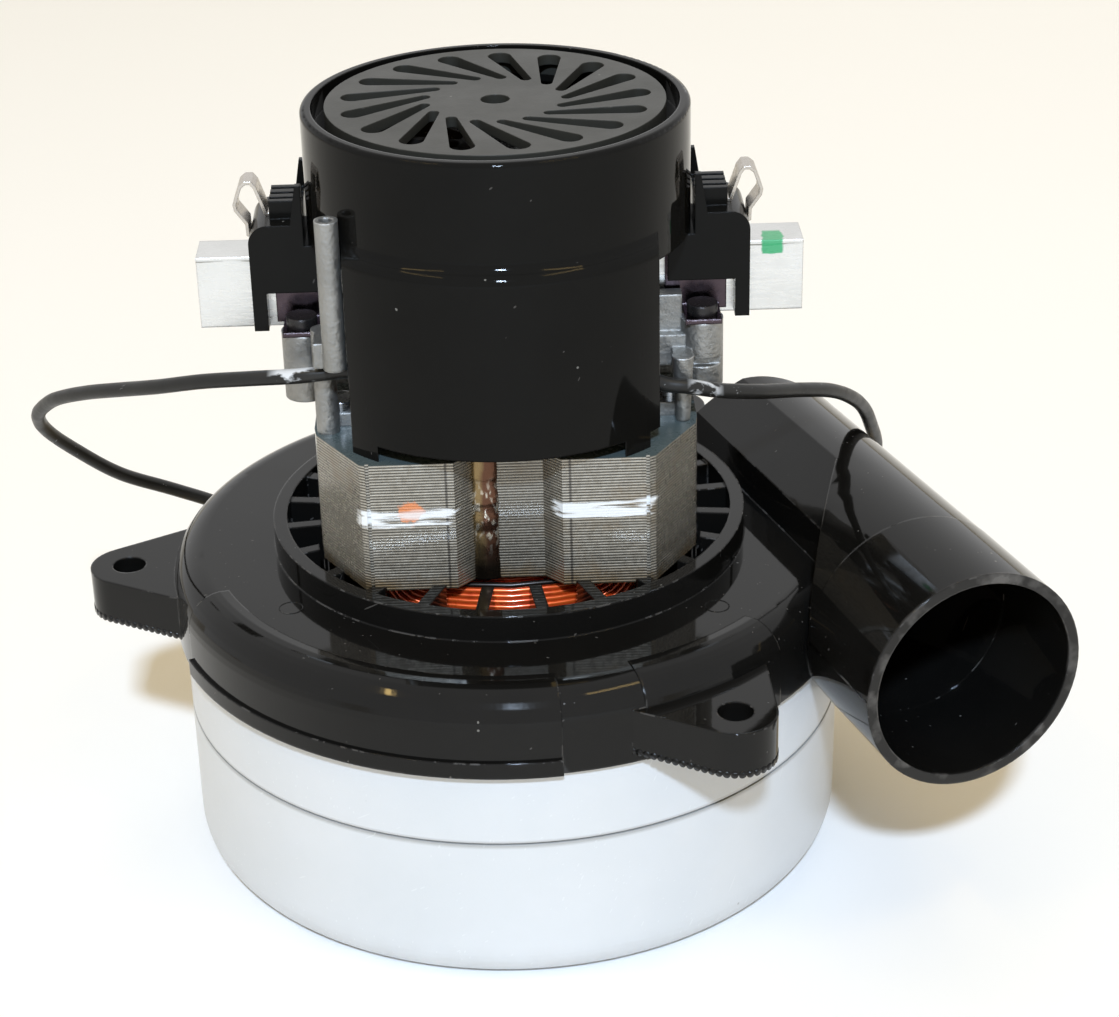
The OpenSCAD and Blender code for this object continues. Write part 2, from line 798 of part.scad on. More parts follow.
module field_coil_back() {
    color(copper) rotate(180) coil_wire();
}

module coil_former_front() {
    color(copper) coil_former();
}

module coil_former_back() {
    color(copper) rotate(180) coil_former();
}

// Armature
arm_r = core_bore_d / 2 - air_gap;
arm_core_r = (shaft_d + 3) / 2 + slip;
arm_slot_r = 16;
arm_slot_w = 5;
arm_mouth_w = 2;
arm_end_h = 9;
arm_low_h = 7.4;

module armature_core() {
    color(lamination) difference() {
        ring(arm_r, arm_core_r, core_z, core_h);
        for (i = [0:slot_count - 1]) rotate(360 * i / slot_count) translate([0, 0, core_z - 1]) {
            translate([arm_slot_r - 4, -arm_slot_w / 2, 0]) cube([4, arm_slot_w, core_h + 2]);
            translate([arm_slot_r - 1, -arm_mouth_w / 2, 0]) cube([8, arm_mouth_w, core_h + 2]);
        }
    }
}

module armature_winding() {
    color(copper) {
        for (i = [0:slot_count - 1]) rotate(360 * i / slot_count)
            translate([arm_slot_r - 4 + slip, -arm_slot_w / 2 + slip, core_z - 1])
                cube([4 - 2 * slip, arm_slot_w - 2 * slip, core_h + 2]);
        ring(arm_slot_r + 1.5, arm_core_r, core_z - arm_low_h, arm_low_h);
        ring(arm_slot_r + 1.5, arm_core_r, core_top, arm_end_h);
    }
}

comm_in_r = comm_d / 2 - 3.2;

module commutator() {
    color(copper) difference() {
        union() {
            ring(comm_d / 2, comm_in_r, comm_z, comm_l);
            ring(comm_d / 2 + 1.6, comm_in_r, comm_z, 1.8);
        }
        for (i = [0:comm_bars - 1]) rotate(360 * i / comm_bars)
            translate([comm_d / 2 - 1.2, -0.3, comm_z - 1]) cube([4, 0.6, comm_l + 2]);
    }
}

module commutator_hub() {
    color(resin) ring(comm_in_r - slip, arm_core_r, core_top + arm_end_h, comm_top - core_top - arm_end_h);
}

module cooling_fan() {
    color(moulded_black) {
        ring(fan2_r, hub_bore_r, fan2_z, 1.4);
        ring(8, hub_bore_r, fan2_z, fan2_blade_h);
        for (i = [0:10]) rotate(360 * i / 11)
            translate([7.5, -0.7, fan2_z]) cube([fan2_r - 8, 1.4, fan2_blade_h]);
    }
}

// Cast bracket over the commutator: bearing hub, bridge, pillars, arms, feet and posts
bridge_z = brush_z + tube_h / 2 + 1.5;
bridge_y = 12.5;
pillar_x = 26;
pillar_w = 5;
pillar_y0 = tube_w / 2 + clamp_t + 0.6;
hub2_r = bearing_r + 4;
hub2_lip = 1.5;
foot_x = 37;
foot_y = 17.3;
post_x = 34.2;
post_y = 25.4;
post_r = 2.4;
post_top = step_z + 9;
arm_z = boss_low + 5;
link_z = core_top + 17.6;
link_h = 5.4;
pad_x = 29.8;
web_set = 3.5;
web_t = 3.6;
web_room = 0.4;
web_top = housing_low - 2.5;
foot_tip_r = 1.5;
foot_r = 2.3;
boss_slot_z = boss_low + 5;
boss_slot_h = 1.8;
bolt_head_r = 3.3;

module bracket_boss() {
    translate([boss_x, boss_y, boss_low]) cylinder(r = boss_r, h = boss_top - boss_low);
    translate([pillar_x, boss_y - web_set, arm_z]) cube([boss_x - pillar_x, 6, boss_top - 3 - arm_z]);
    translate([pillar_x, boss_y - web_set, arm_z])
        cube([boss_x - strap_foot_l / 2 - web_room - pillar_x, web_t, web_top - arm_z]);
}

module bracket_foot() {
    translate([foot_x, foot_y, core_top]) cylinder(r1 = foot_tip_r, r2 = foot_r, h = arm_z + 4 - core_top);
    translate([foot_x - 2, boss_y - 1, arm_z]) cube([4, foot_y - boss_y + 1, 4]);
    translate([pad_x, pillar_y0, core_top]) cube([bolt_x + 4 - pad_x, bolt_y + 3.5 - pillar_y0, 3]);
    translate([pillar_x, pillar_y0, core_top])
        cube([pillar_w, bridge_y - pillar_y0, bridge_z + 3 - core_top]);
}

// A tall post that steps forward from its foot above the lead
module bracket_post() {
    translate([-post_x, -post_y, link_z]) cylinder(r = post_r, h = post_top - link_z);
    translate([-foot_x - 1.5, -post_y, link_z]) cube([5, post_y - foot_y, link_h]);
    translate([-foot_x, -foot_y, core_top]) cylinder(r = 2.4, h = link_z + link_h - core_top);
}

module commutator_bracket() {
    color(cast_alloy) difference() {
        union() {
            translate([0, 0, bearing2_z - 1.5]) cylinder(r = hub2_r, h = bearing_w + 1.5 + hub2_lip);
            translate([-pillar_x - pillar_w, -bridge_y, bridge_z])
                cube([2 * (pillar_x + pillar_w), 2 * bridge_y, bearing2_z + bearing_w - bridge_z - 2]);
            four_corners() {
                bracket_boss();
                bracket_foot();
            }
            bracket_post();
            rotate(180) bracket_post();
        }
        translate([0, 0, bridge_z - 10]) cylinder(r = bearing_r, h = bearing2_z + bearing_w - bridge_z + 10);
        cylinder(r = bearing_r - 2.5, h = big);
        cylinder(r = comm_d / 2 + 1.2, h = bearing2_z - 1.5);
        four_corners() {
            translate([bolt_x, bolt_y, core_top - 1]) cylinder(r = bolt_r + loose, h = 5);
            translate([boss_x, boss_y, boss_low + 3]) cylinder(r = screw_r + slip, h = boss_top - boss_low);
        }
        for (a = [0, 180]) rotate(a) {
            translate([-post_x, -post_y, post_top - 4]) cylinder(r = 1.4, h = 5);
            translate([boss_x - boss_r, -boss_y - boss_r - 1, boss_slot_z]) cube([2 * boss_r + 1, 3, boss_slot_h]);
        }
    }
}

module through_bolts() {
    color(steel) four_corners() translate([bolt_x, bolt_y, 0]) {
        translate([0, 0, floor_top + 2]) cylinder(r = bolt_r, h = core_top + 3.1 - floor_top - 2);
        translate([0, 0, core_top + 3]) cylinder(r = bolt_head_r, h = 2.2);
    }
}

// Brush gear, drawn on the right and mirrored to the left
module brush_tube() {
    translate([tube_in, -tube_w / 2, brush_z - tube_h / 2]) difference() {
        cube([tube_end - tube_in, tube_w, tube_h]);
        translate([-1, tube_t, tube_t])
            cube([tube_end - tube_in - tube_t + 1, tube_w - 2 * tube_t, tube_h - 2 * tube_t]);
    }
}

module carbon_brush() {
    room = tube_t + brush_clear;
    translate([brush_in, room - tube_w / 2, room - tube_h / 2 + brush_z]) difference() {
        cube([brush_l, tube_w - 2 * room, tube_h - 2 * room]);
        translate([-brush_in, tube_w / 2 - room, -1]) cylinder(r = brush_in, h = tube_h + 2);
    }
}

// One curl has eight rings
module brush_spring() {
    x0 = brush_in + brush_l + spring_wire_d / 2 + slip;
    x1 = tube_end - tube_t - spring_wire_d / 2 - slip;
    n = 8 * spring_turns;
    path = [for (i = [0:n]) [x0 + (x1 - x0) * i / n, spring_r * cos(45 * i), brush_z + spring_r * sin(45 * i)]];
    swept_tube(path, spring_wire_d / 2, 6, [1, 0, 0]);
}

module brush_clamp() {
    in_y = tube_w / 2 + slip;
    high = brush_z + tube_h / 2 + slip;
    low = clamp_foot_z - clamp_t;
    difference() {
        union() {
            translate([strap_x, -in_y - clamp_t, low]) cube([strap_l, 2 * (in_y + clamp_t), high + clamp_t - low]);
            translate([boss_x - strap_foot_l / 2, -boss_y - boss_r, low])
                cube([strap_foot_l, 2 * (boss_y + boss_r), clamp_t]);
        }
        translate([strap_x - 1, -in_y, low - 1]) cube([strap_l + 2, 2 * in_y, high - low + 1]);
        for (side = [-1, 1]) translate([boss_x, side * boss_y, low - 1])
            cylinder(r = screw_r + loose, h = clamp_t + 2);
    }
}

module brush_housing() {
    in_y = tube_w / 2 + slip + clamp_t + loose;
    in_top = brush_z + tube_h / 2 + slip + clamp_t + slip;
    round = 4;
    difference() {
        union() {
            translate([housing_in, -housing_y, housing_low])
                cube([housing_out - housing_in, 2 * housing_y, housing_top - round - housing_low]);
            translate([housing_in, -housing_y, housing_low])
                cube([housing_out - round - housing_in, 2 * housing_y, housing_top - housing_low]);
            translate([housing_out - round, housing_y, housing_top - round])
                rotate([90, 0, 0]) cylinder(r = round, h = 2 * housing_y);
            translate([housing_out - leg_t, -housing_y, leg_low])
                cube([leg_t, 2 * housing_y, housing_low - leg_low + 1]);
            translate([cheek_in, -housing_y, housing_low])
                cube([housing_in - cheek_in + 0.1, 2 * housing_y, step_z - cover_t - cheek_room - housing_low]);
            translate([housing_in, -5, housing_top - 0.1]) cube([7, 10, 4]);
            for (y = [fin_t - housing_y, housing_y]) translate([housing_in, y, housing_top - 0.1])
                rotate([90, 0, 0]) linear_extrude(fin_t) polygon([[0, 0], [2.6, 0], [1.2, fin_h], [0, fin_h]]);
        }
        translate([cheek_in - 1, -in_y, leg_low - 1])
            cube([housing_out - leg_t - cheek_in + 1, 2 * in_y, in_top - leg_low + 1]);
        translate([cheek_in - 1, -tube_w / 2 - loose, leg_low - 1])
            cube([big, tube_w + 2 * loose, brush_z + tube_h / 2 + loose - leg_low + 1]);
        for (k = [-1, 0, 1]) translate([housing_in - 1, k * 3 - 0.6, housing_top + 2.9]) cube([9, 1.2, 2]);
    }
}

// A strip bent into a loop beside the ribbed block
clip_w = 6;
clip_t = 0.7;

module strip(p) {
    for (i = [0:len(p) - 2]) {
        way = p[i + 1] - p[i];
        translate(p[i]) rotate(atan2(way[1], way[0])) translate([0, -clip_t / 2]) square([norm(way), clip_t]);
        translate(p[i + 1]) circle(d = clip_t, $fn = 24);
    }
}

module terminal_clip() {
    x = housing_out;
    z = housing_top;
    low = z + clip_t / 2;
    translate([0, clip_w / 2, 0]) rotate([90, 0, 0]) linear_extrude(clip_w)
        strip([[housing_in + 7.1, low], [x - 3.6, low], [x - 1.6, z + 6.2], [x - 0.8, z + 7.2], [x + 0.4, z + 7.2],
            [x + 1.4, z + 6.4], [x + 2.8, z + 2.6], [x + 2.6, z + 1.4], [x + 0.5, z - 1.6], [x + 0.4, z - 4]]);
}

module brush_tube_left() {
    color(sheet_alloy) mirror([1, 0, 0]) brush_tube();
}

module brush_tube_right() {
    color(sheet_alloy) brush_tube();
}

module carbon_brush_left() {
    color(carbon) mirror([1, 0, 0]) carbon_brush();
}

module carbon_brush_right() {
    color(carbon) carbon_brush();
}

module brush_spring_left() {
    color(steel) mirror([1, 0, 0]) brush_spring();
}

module brush_spring_right() {
    color(steel) brush_spring();
}

module brush_housing_left() {
    color(moulded_black) mirror([1, 0, 0]) brush_housing();
}

module brush_housing_right() {
    color(moulded_black) brush_housing();
}

module brush_clamp_left() {
    color(dark_steel) mirror([1, 0, 0]) brush_clamp();
}

module brush_clamp_right() {
    color(dark_steel) brush_clamp();
}

module clamp_screws() {
    color(dark_steel) four_corners() translate([boss_x, boss_y, clamp_foot_z]) {
        cylinder(r = screw_head_r, h = screw_head_h);
        translate([0, 0, -screw_l]) cylinder(r = screw_r, h = screw_l + 0.1);
    }
}

module terminal_clip_left() {
    color(steel) mirror([1, 0, 0]) terminal_clip();
}

module terminal_clip_right() {
    color(steel) terminal_clip();
}

// Section of a panel, with the slope that curves out from the drum and over to the panel
module panel_section() {
    translate([panel_r - cover_t, panel_low]) square([cover_t, step_z - panel_low]);
    translate([drum_in, step_z - cover_t]) square([panel_r - drum_in, cover_t]);
    intersection() {
        translate([panel_r - slope_r, step_z]) circle(slope_r);
        translate([drum_r - 1, step_z - 0.1]) square([panel_out + 2, slope_h / 2 + 0.1]);
    }
    difference() {
        translate([drum_r - 1, step_z + slope_h / 2 - 0.1]) square([1 + panel_out / 2, slope_h / 2 + 0.1]);
        translate([drum_r + slope_r - slope_set, step_z + slope_h]) circle(slope_r);
    }
}

// The stretch of a turned piece that lies in front, between x0 and x0 + w
module front_stretch(x0, w) {
    intersection() {
        children();
        translate([x0, -big / 2, 0]) cube([w, big / 2 - panel_back, big]);
    }
}

module cover_panel() {
    front_stretch(-panel_w / 2, panel_w) rotate_extrude() panel_section();
    for (x0 = [-panel_w / 2, foot_in]) front_stretch(x0, foot_l)
        ring(panel_r, panel_r - cover_t, core_top, panel_gap + 0.5);
}

module motor_cover() {
    color(moulded_black) {
        rotate_extrude() {
            translate([drum_in, step_z - cover_t]) square([cover_t, cover_top - rim_round - step_z + cover_t]);
            translate([drum_in, cover_top - 2 * rim_round]) square([cover_t - rim_round, 2 * rim_round]);
            translate([drum_r - rim_round, cover_top - rim_round]) circle(rim_round);
            translate([drum_in - cover_ledge, cover_ledge_z]) square([cover_ledge + 0.1, ledge_t]);
        }
        cover_panel();
        rotate(180) cover_panel();
    }
}

// One teardrop slot, wide at its outer end
module grille_slot() {
    in_c = [0.42 * grille_r, 0];
    out_r = 0.072 * grille_r;
    out_c = (grille_r - 2.16 * out_r) * [cos(24), sin(24)];
    in_r = 0.48 * out_r;
    way = unit(out_c - in_c);
    side = [-way[1], way[0]];
    translate(in_c) circle(in_r, $fn = 24);
    translate(out_c) circle(out_r, $fn = 24);
    polygon([in_c + in_r * side, out_c + out_r * side, out_c - out_r * side, in_c - in_r * side]);
}

module intake_grille() {
    seat = cover_ledge_z + ledge_t;
    color(moulded_black) difference() {
        union() {
            translate([0, 0, cover_top - grille_t]) cylinder(r = grille_r, h = grille_t);
            ring(grille_r, grille_r - 1.8, seat, cover_top - grille_t - seat + 0.1);
        }
        translate([0, 0, cover_top - grille_t - 1]) cylinder(d = 6, h = grille_t + 2);
        for (i = [0:grille_slots - 1]) rotate(360 * i / grille_slots)
            translate([0, 0, cover_top - grille_t - 1]) linear_extrude(grille_t + 2) grille_slot();
    }
}

// Leads: each runs from its splice on the coil, out past the cover, and down behind the case
left_route = [[-20, -22, 117], [-27, -22.5, 117.4], [-33, -22.5, 117.5], [-42, -22, 116.5],
    [-53, -18, 114.5], [-63, -13, 112], [-73, -7, 108.5], [-82, 0, 105], [-90, 7, 101.5], [-97, 14, 97.5],
    [-101.5, 20, 93.5], [-105.5, 27, 87.5], [-105.5, 34, 80.5], [-101, 42, 71.5], [-92.5, 50, 61],
    [-81.5, 57, 53], [-72, 63, 46], [-60, 71, 36], [-48, 79, 25], [-36, 87, 14], [-24, 93, 6], [-13, 96, 2],
    [-3, 97, 1.8], [6, 97, 1.8]];
right_route = [[20, -22, 116.4], [27, -22.5, 114.5], [33, -22, 112], [38, -21.5, 111], [45, -18.5, 108.5],
    [54, -13, 105.5], [63, -4, 101.5], [71, 5, 97], [77, 14, 91], [81, 22, 84.5], [84, 30, 76.5],
    [86.5, 38, 68], [87, 47, 58], [85, 56, 48], [80, 65, 38], [73, 74, 28], [64, 82, 18], [55, 90, 10],
    [44, 97, 4], [32, 103, 2], [19, 107, 1.8], [5, 109, 1.8], [-9, 110, 1.8], [-22, 110, 1.8],
    [-35, 110, 1.8]];
lead_rings = 38;
splice_l = 9;
barrel_l = 6;
tab_l = 13;
tab_w = 7.6;

module lead(route) {
    swept_tube(spline(route, lead_rings), lead_d / 2, 8, [0, 0, 1]);
}

module lead_left() {
    color(moulded_black) lead(left_route);
}

module lead_right() {
    color(moulded_black) lead(right_route);
}

// A crimped sleeve on the inner end of each lead
module splice(route) {
    way = unit(route[1] - route[0]);
    translate(route[0]) rotate([0, acos(way[2]), atan2(way[1], way[0])])
        translate([0, 0, -splice_l - slip]) cylinder(r = lead_d / 2 + 0.4, h = splice_l);
}

module lead_splices() {
    color(sheet_alloy) {
        splice(left_route);
        splice(right_route);
    }
}

// A push-on terminal: crimp barrel, flat tongue and two rolled edges
module push_on_terminal() {
    barrel_r = lead_d / 2 + 0.15;
    rotate([0, 90, 0]) cylinder(r = barrel_r, h = barrel_l);
    translate([barrel_l - 1, -tab_w / 2, -barrel_r]) cube([tab_l, tab_w, 1]);
    for (side = [-1, 1]) translate([barrel_l - 1, side * (tab_w / 2 - 1.2), -barrel_r + 1.5])
        rotate([0, 90, 0]) cylinder(r = 1.2, h = tab_l);
}

module lead_terminal_left() {
    color(sheet_alloy) translate(left_route[len(left_route) - 1]) push_on_terminal();
}

module lead_terminal_right() {
    color(sheet_alloy) translate(right_route[len(right_route) - 1]) rotate(180) push_on_terminal();
}

lower_fan_shell();
upper_fan_shell();
fan_bracket();
bearing_retainer();
retainer_screws();
lower_fan();
stationary_fan();
upper_fan();
fan_spacers();
fan_washers();
shaft_nut();
shaft();
lower_bearing_outer();
lower_bearing_inner();
lower_bearing_balls();
upper_bearing_outer();
upper_bearing_inner();
upper_bearing_balls();
field_core();
field_coil_front();
field_coil_back();
coil_former_front();
coil_former_back();
armature_core();
armature_winding();
commutator();
commutator_hub();
cooling_fan();
commutator_bracket();
through_bolts();
brush_tube_left();
brush_tube_right();
carbon_brush_left();
carbon_brush_right();
brush_spring_left();
brush_spring_right();
brush_housing_left();
brush_housing_right();
brush_clamp_left();
brush_clamp_right();
clamp_screws();
terminal_clip_left();
terminal_clip_right();
motor_cover();
intake_grille();
lead_left();
lead_right();
lead_splices();
lead_terminal_left();
lead_terminal_right();
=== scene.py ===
import math

import bmesh
import bpy
from mathutils import Matrix, Vector, noise


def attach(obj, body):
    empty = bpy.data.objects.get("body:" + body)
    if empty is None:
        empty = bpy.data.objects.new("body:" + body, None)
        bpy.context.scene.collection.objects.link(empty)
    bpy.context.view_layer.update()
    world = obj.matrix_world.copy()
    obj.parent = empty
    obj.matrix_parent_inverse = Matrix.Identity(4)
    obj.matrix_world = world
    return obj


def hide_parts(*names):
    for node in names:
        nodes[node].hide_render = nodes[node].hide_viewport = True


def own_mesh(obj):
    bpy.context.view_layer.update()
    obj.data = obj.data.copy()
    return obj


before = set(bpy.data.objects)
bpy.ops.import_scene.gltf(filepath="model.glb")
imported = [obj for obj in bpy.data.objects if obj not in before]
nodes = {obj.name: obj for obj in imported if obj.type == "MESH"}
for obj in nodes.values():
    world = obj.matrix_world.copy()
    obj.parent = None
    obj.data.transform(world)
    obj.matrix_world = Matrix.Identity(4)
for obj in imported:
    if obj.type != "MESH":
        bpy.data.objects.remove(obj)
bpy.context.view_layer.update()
mm = 0.001  # shapes are in millimetres; lamps, floor and effect widths in metres
print("frame loaded:", len(nodes), "nodes")

# viewpoint of the photograph
view = {"place": (0, -504.236, 328.935), "yaw": 0.02204, "pitch": 0.46965, "roll": -0.02402, "lens": 82.72}


def addCamera(view):
    yaw, pitch, roll = view["yaw"], view["pitch"], view["roll"]
    forward = Vector((math.sin(yaw) * math.cos(pitch), math.cos(yaw) * math.cos(pitch), -math.sin(pitch)))
    level = Vector((math.cos(yaw), -math.sin(yaw), 0))
    upright = level.cross(forward)
    right = level * math.cos(roll) + upright * math.sin(roll)
    up = upright * math.cos(roll) - level * math.sin(roll)
    data = bpy.data.cameras.new("camera")
    data.lens = view["lens"]
    data.sensor_fit = "HORIZONTAL"
    data.sensor_width = 36
    camera = bpy.data.objects.new("camera", data)
    turn = Matrix((right, up, -forward)).transposed().to_4x4()
    camera.matrix_world = Matrix.Translation(Vector(view["place"]) * mm) @ turn
    bpy.context.scene.collection.objects.link(camera)
    bpy.context.scene.camera = camera


def link(obj):
    bpy.context.scene.collection.objects.link(obj)
    return obj


# node helpers: a value that is a socket is linked, anything else is set on the socket
def put(tree, kind, values=None, **settings):
    made = tree.nodes.new("ShaderNode" + kind)
    for key, value in settings.items():
        setattr(made, key, value)
    for socket, value in (values or {}).items():
        if isinstance(value, bpy.types.NodeSocket):
            tree.links.new(value, made.inputs[socket])
        else:
            made.inputs[socket].default_value = value
    return made


def calc(tree, operation, a, b=0.5):
    return put(tree, "Math", {0: a, 1: b}, operation=operation).outputs[0]


def blend(tree, factor, a, b):
    return put(tree, "Mix", {0: factor, 6: a, 7: b}, data_type="RGBA").outputs[2]


def remap(tree, value, fromLow, fromHigh, toLow=0.0, toHigh=1.0):
    return put(tree, "MapRange", {0: value, 1: fromLow, 2: fromHigh, 3: toLow, 4: toHigh}).outputs[0]


def stretch(tree, vector, scale, turn=(0, 0, 0)):
    return put(tree, "Mapping", {"Vector": vector, "Scale": scale, "Rotation": turn}).outputs[0]


def cloudy(tree, vector, scale, **more):
    return put(tree, "TexNoise", {"Vector": vector, "Scale": scale, **more}).outputs["Fac"]


def project(tree, a, b):
    return put(tree, "VectorMath", {0: a, 1: b}, operation="DOT_PRODUCT").outputs["Value"]


def parts(tree, vector):
    return put(tree, "SeparateXYZ", {0: vector}).outputs


# millimetres to metres
def scaled(span):
    return [value * mm for value in span]


# 1 inside the span, 0 outside, over a soft edge
def within(tree, value, low, high, soft):
    rise = remap(tree, value, low - soft, low + soft)
    fall = remap(tree, value, high - soft, high + soft, 1.0, 0.0)
    return calc(tree, "MULTIPLY", rise, fall)


def newGroup(name, inputs, outputs):
    tree = bpy.data.node_groups.new(name, "ShaderNodeTree")
    for socket, kind in inputs.items():
        tree.interface.new_socket(name=socket, in_out="INPUT", socket_type="NodeSocket" + kind)
    for socket in outputs:
        tree.interface.new_socket(name=socket, in_out="OUTPUT", socket_type="NodeSocketFloat")
    return tree, tree.nodes.new("NodeGroupInput").outputs, tree.nodes.new("NodeGroupOutput").inputs


taken = {"Vector": "Vector", "Scale": "Float"}  # what most shared effects take


# slow change of tone, as from handling
def makeSmudges():
    tree, given, out = newGroup("smudges", taken, ["Value"])
    cloud = cloudy(tree, given["Vector"], given["Scale"], Detail=5.0, Roughness=0.62)
    tree.links.new(remap(tree, cloud, 0.3, 0.7), out["Value"])
    return tree


# sparse, fine, straight lines in two directions
def makeScratches():
    tree, given, out = newGroup("scratches", dict(taken, Amount="Float"), ["Mask"])
    total = None
    for turn in ((0.3, 0.5, 0.6), (-0.4, 1.1, -0.7)):
        laid = stretch(tree, stretch(tree, given["Vector"], (1, 1, 1), turn), (1, 50, 50))
        cell = put(tree, "TexVoronoi", {"Vector": laid, "Scale": given["Scale"]})
        pick = parts(tree, cell.outputs["Color"])
        line = calc(tree, "LESS_THAN", cell.outputs["Distance"], remap(tree, pick["Y"], 0.0, 1.0, 0.08, 0.32))
        line = calc(tree, "MULTIPLY", line, calc(tree, "LESS_THAN", pick["X"], given["Amount"]))
        total = line if total is None else calc(tree, "MAXIMUM", total, line)
    tree.links.new(total, out["Mask"])
    return tree


# small separate dots of dust or chipped paint
def makeSpecks():
    tree, given, out = newGroup("specks", dict(taken, Amount="Float"), ["Mask"])
    fine = calc(tree, "MULTIPLY", given["Scale"], 2.5)
    wob = put(tree, "TexNoise", {"Vector": given["Vector"], "Scale": fine})
    nudge = put(tree, "VectorMath", {0: wob.outputs["Color"], "Scale": 0.0003}, operation="SCALE").outputs[0]
    bent = put(tree, "VectorMath", {0: given["Vector"], 1: nudge}, operation="ADD")
    cell = put(tree, "TexVoronoi", {"Vector": bent.outputs[0], "Scale": given["Scale"]})
    pick = parts(tree, cell.outputs["Color"])
    size = remap(tree, pick["Y"], 0.0, 1.0, 0.05, 0.20)
    dot = calc(tree, "LESS_THAN", cell.outputs["Distance"], size)
    kept = calc(tree, "LESS_THAN", pick["X"], given["Amount"])
    tree.links.new(calc(tree, "MULTIPLY", dot, kept), out["Mask"])
    return tree


# rubbed corners: where the rounded normal leaves the true one; the tube uses this mask for painted shade
def makeEdgeRub():
    tree, given, out = newGroup("edgeRub", {"Vector": "Vector", "Width": "Float", "Amount": "Float"},
                                ["Mask"])
    rounded = put(tree, "Bevel", {"Radius": given["Width"]}, samples=4)
    true = put(tree, "NewGeometry")
    edge = remap(tree, project(tree, rounded.outputs[0], true.outputs["Normal"]), 0.955, 0.78)
    cloud = cloudy(tree, given["Vector"], 160.0, Detail=6.0, Roughness=0.7)
    rub = calc(tree, "GREATER_THAN", cloud, calc(tree, "SUBTRACT", 1.0, given["Amount"]))
    tree.links.new(calc(tree, "MULTIPLY", edge, rub), out["Mask"])
    return tree


# height of a moulded, painted or cast skin
def makeSkin():
    tree, given, out = newGroup("skin", taken, ["Height"])
    fine = cloudy(tree, given["Vector"], given["Scale"], Detail=3.0)
    broad = cloudy(tree, given["Vector"], calc(tree, "MULTIPLY", given["Scale"], 0.11))
    tree.links.new(calc(tree, "ADD", fine, broad), out["Height"])
    return tree


smudges, scratches, specks = makeSmudges(), makeScratches(), makeSpecks()
edgeRub, skin = makeEdgeRub(), makeSkin()
print("shared effects made")


class Finish:
    def __init__(self, name):
        self.material = bpy.data.materials.new(name)
        self.material.use_nodes = True
        self.tree = self.material.node_tree
        self.shader = self.tree.nodes["Principled BSDF"]
        self.place = put(self.tree, "TexCoord").outputs["Object"]
        self.x, self.y, self.z = parts(self.tree, self.place)

    def effect(self, group, **values):
        made = put(self.tree, "Group")
        made.node_tree = group
        self.tree.links.new(self.place, made.inputs["Vector"])
        for socket, value in values.items():
            made.inputs[socket].default_value = value
        return made.outputs[0]

    def colour(self, rgb):
        return (*rgb, 1.0)

    def set(self, **sockets):
        names = {"base": "Base Color", "rough": "Roughness", "metal": "Metallic", "coat": "Coat Weight",
                 "coatRough": "Coat Roughness", "normal": "Normal", "spec": "Specular IOR Level"}
        for key, value in sockets.items():
            socket = self.shader.inputs[names[key]]
            if isinstance(value, bpy.types.NodeSocket):
                self.tree.links.new(value, socket)
            else:
                socket.default_value = value

    # bump over edges that look rounded by width
    def relief(self, height, strength, depth, width=0.0):
        values = {"Height": height, "Strength": strength, "Distance": depth}
        if width:
            values["Normal"] = put(self.tree, "Bevel", {"Radius": width}, samples=4).outputs[0]
        self.set(normal=put(self.tree, "Bump", values).outputs[0])


paintLook = {"colour": (0.595, 0.615, 0.63), "faded": (0.64, 0.655, 0.67), "grime": (0.20, 0.19, 0.17),
             "bareAndGlint": (0.82, 0.84, 0.84), "foot": 9.0, "seam": 34.2, "orangePeel": 1500.0}


def paintFinish(look):
    made = Finish("casePaint")
    t = made.tree
    base = blend(t, made.effect(smudges, Scale=26.0), made.colour(look["colour"]), made.colour(look["faded"]))
    # darker towards the bottom, in patches, and a dark line along the seam
    foot = remap(t, made.z, look["foot"] * mm, 0.0, 0.0, 0.35)
    low = calc(t, "MULTIPLY", foot, made.effect(smudges, Scale=60.0))
    seam = within(t, made.z, (look["seam"] - 0.9) * mm, (look["seam"] + 0.5) * mm, 0.0004)
    darkened = calc(t, "MAXIMUM", low, calc(t, "MULTIPLY", seam, 0.55))
    base = blend(t, darkened, base, made.colour(look["grime"]))
    dots = made.effect(specks, Scale=520.0, Amount=0.016)
    base = blend(t, calc(t, "MULTIPLY", dots, 0.5), base, made.colour(look["grime"]))
    lines = made.effect(scratches, Scale=36.0, Amount=0.06)
    base = blend(t, calc(t, "MULTIPLY", lines, 0.25), base, made.colour(look["bareAndGlint"]))
    made.set(base=base, rough=remap(t, made.effect(smudges, Scale=45.0), 0, 1, 0.30, 0.42), coat=0.15)
    made.relief(made.effect(skin, Scale=look["orangePeel"]), 0.12, 0.0002, 0.0004)
    return made.material


def blackFinish(name, look):
    made = Finish(name)
    t = made.tree
    base = blend(t, made.effect(smudges, Scale=30.0), made.colour(look["colour"]), made.colour(look["worn"]))
    marks = made.effect(scratches, Scale=look["scratchScale"], Amount=look["scratched"])
    base = blend(t, calc(t, "MULTIPLY", marks, 0.35), base, made.colour(look["scuff"]))
    dust = made.effect(specks, Scale=680.0, Amount=look["dusty"])
    base = blend(t, calc(t, "MULTIPLY", dust, 0.4), base, made.colour(look["dust"]))
    rub = made.effect(edgeRub, Width=0.0007, Amount=look["rubbed"])
    if "mouth" in look:
        rub = calc(t, "MAXIMUM", rub, mouthWear(made, look["mouth"]))
    base = blend(t, calc(t, "MULTIPLY", rub, 0.7), base, made.colour(look["scuff"]))
    low, high = look["gloss"]
    rough = remap(t, made.effect(smudges, Scale=70.0), 0, 1, low, high)
    rough = calc(t, "ADD", rough, calc(t, "MULTIPLY", calc(t, "MAXIMUM", rub, marks), 0.3))
    made.set(base=base, rough=rough, spec=look["spec"])
    made.relief(made.effect(skin, Scale=look["grain"]), look["bump"], 0.0002, look["round"])
    return made.material


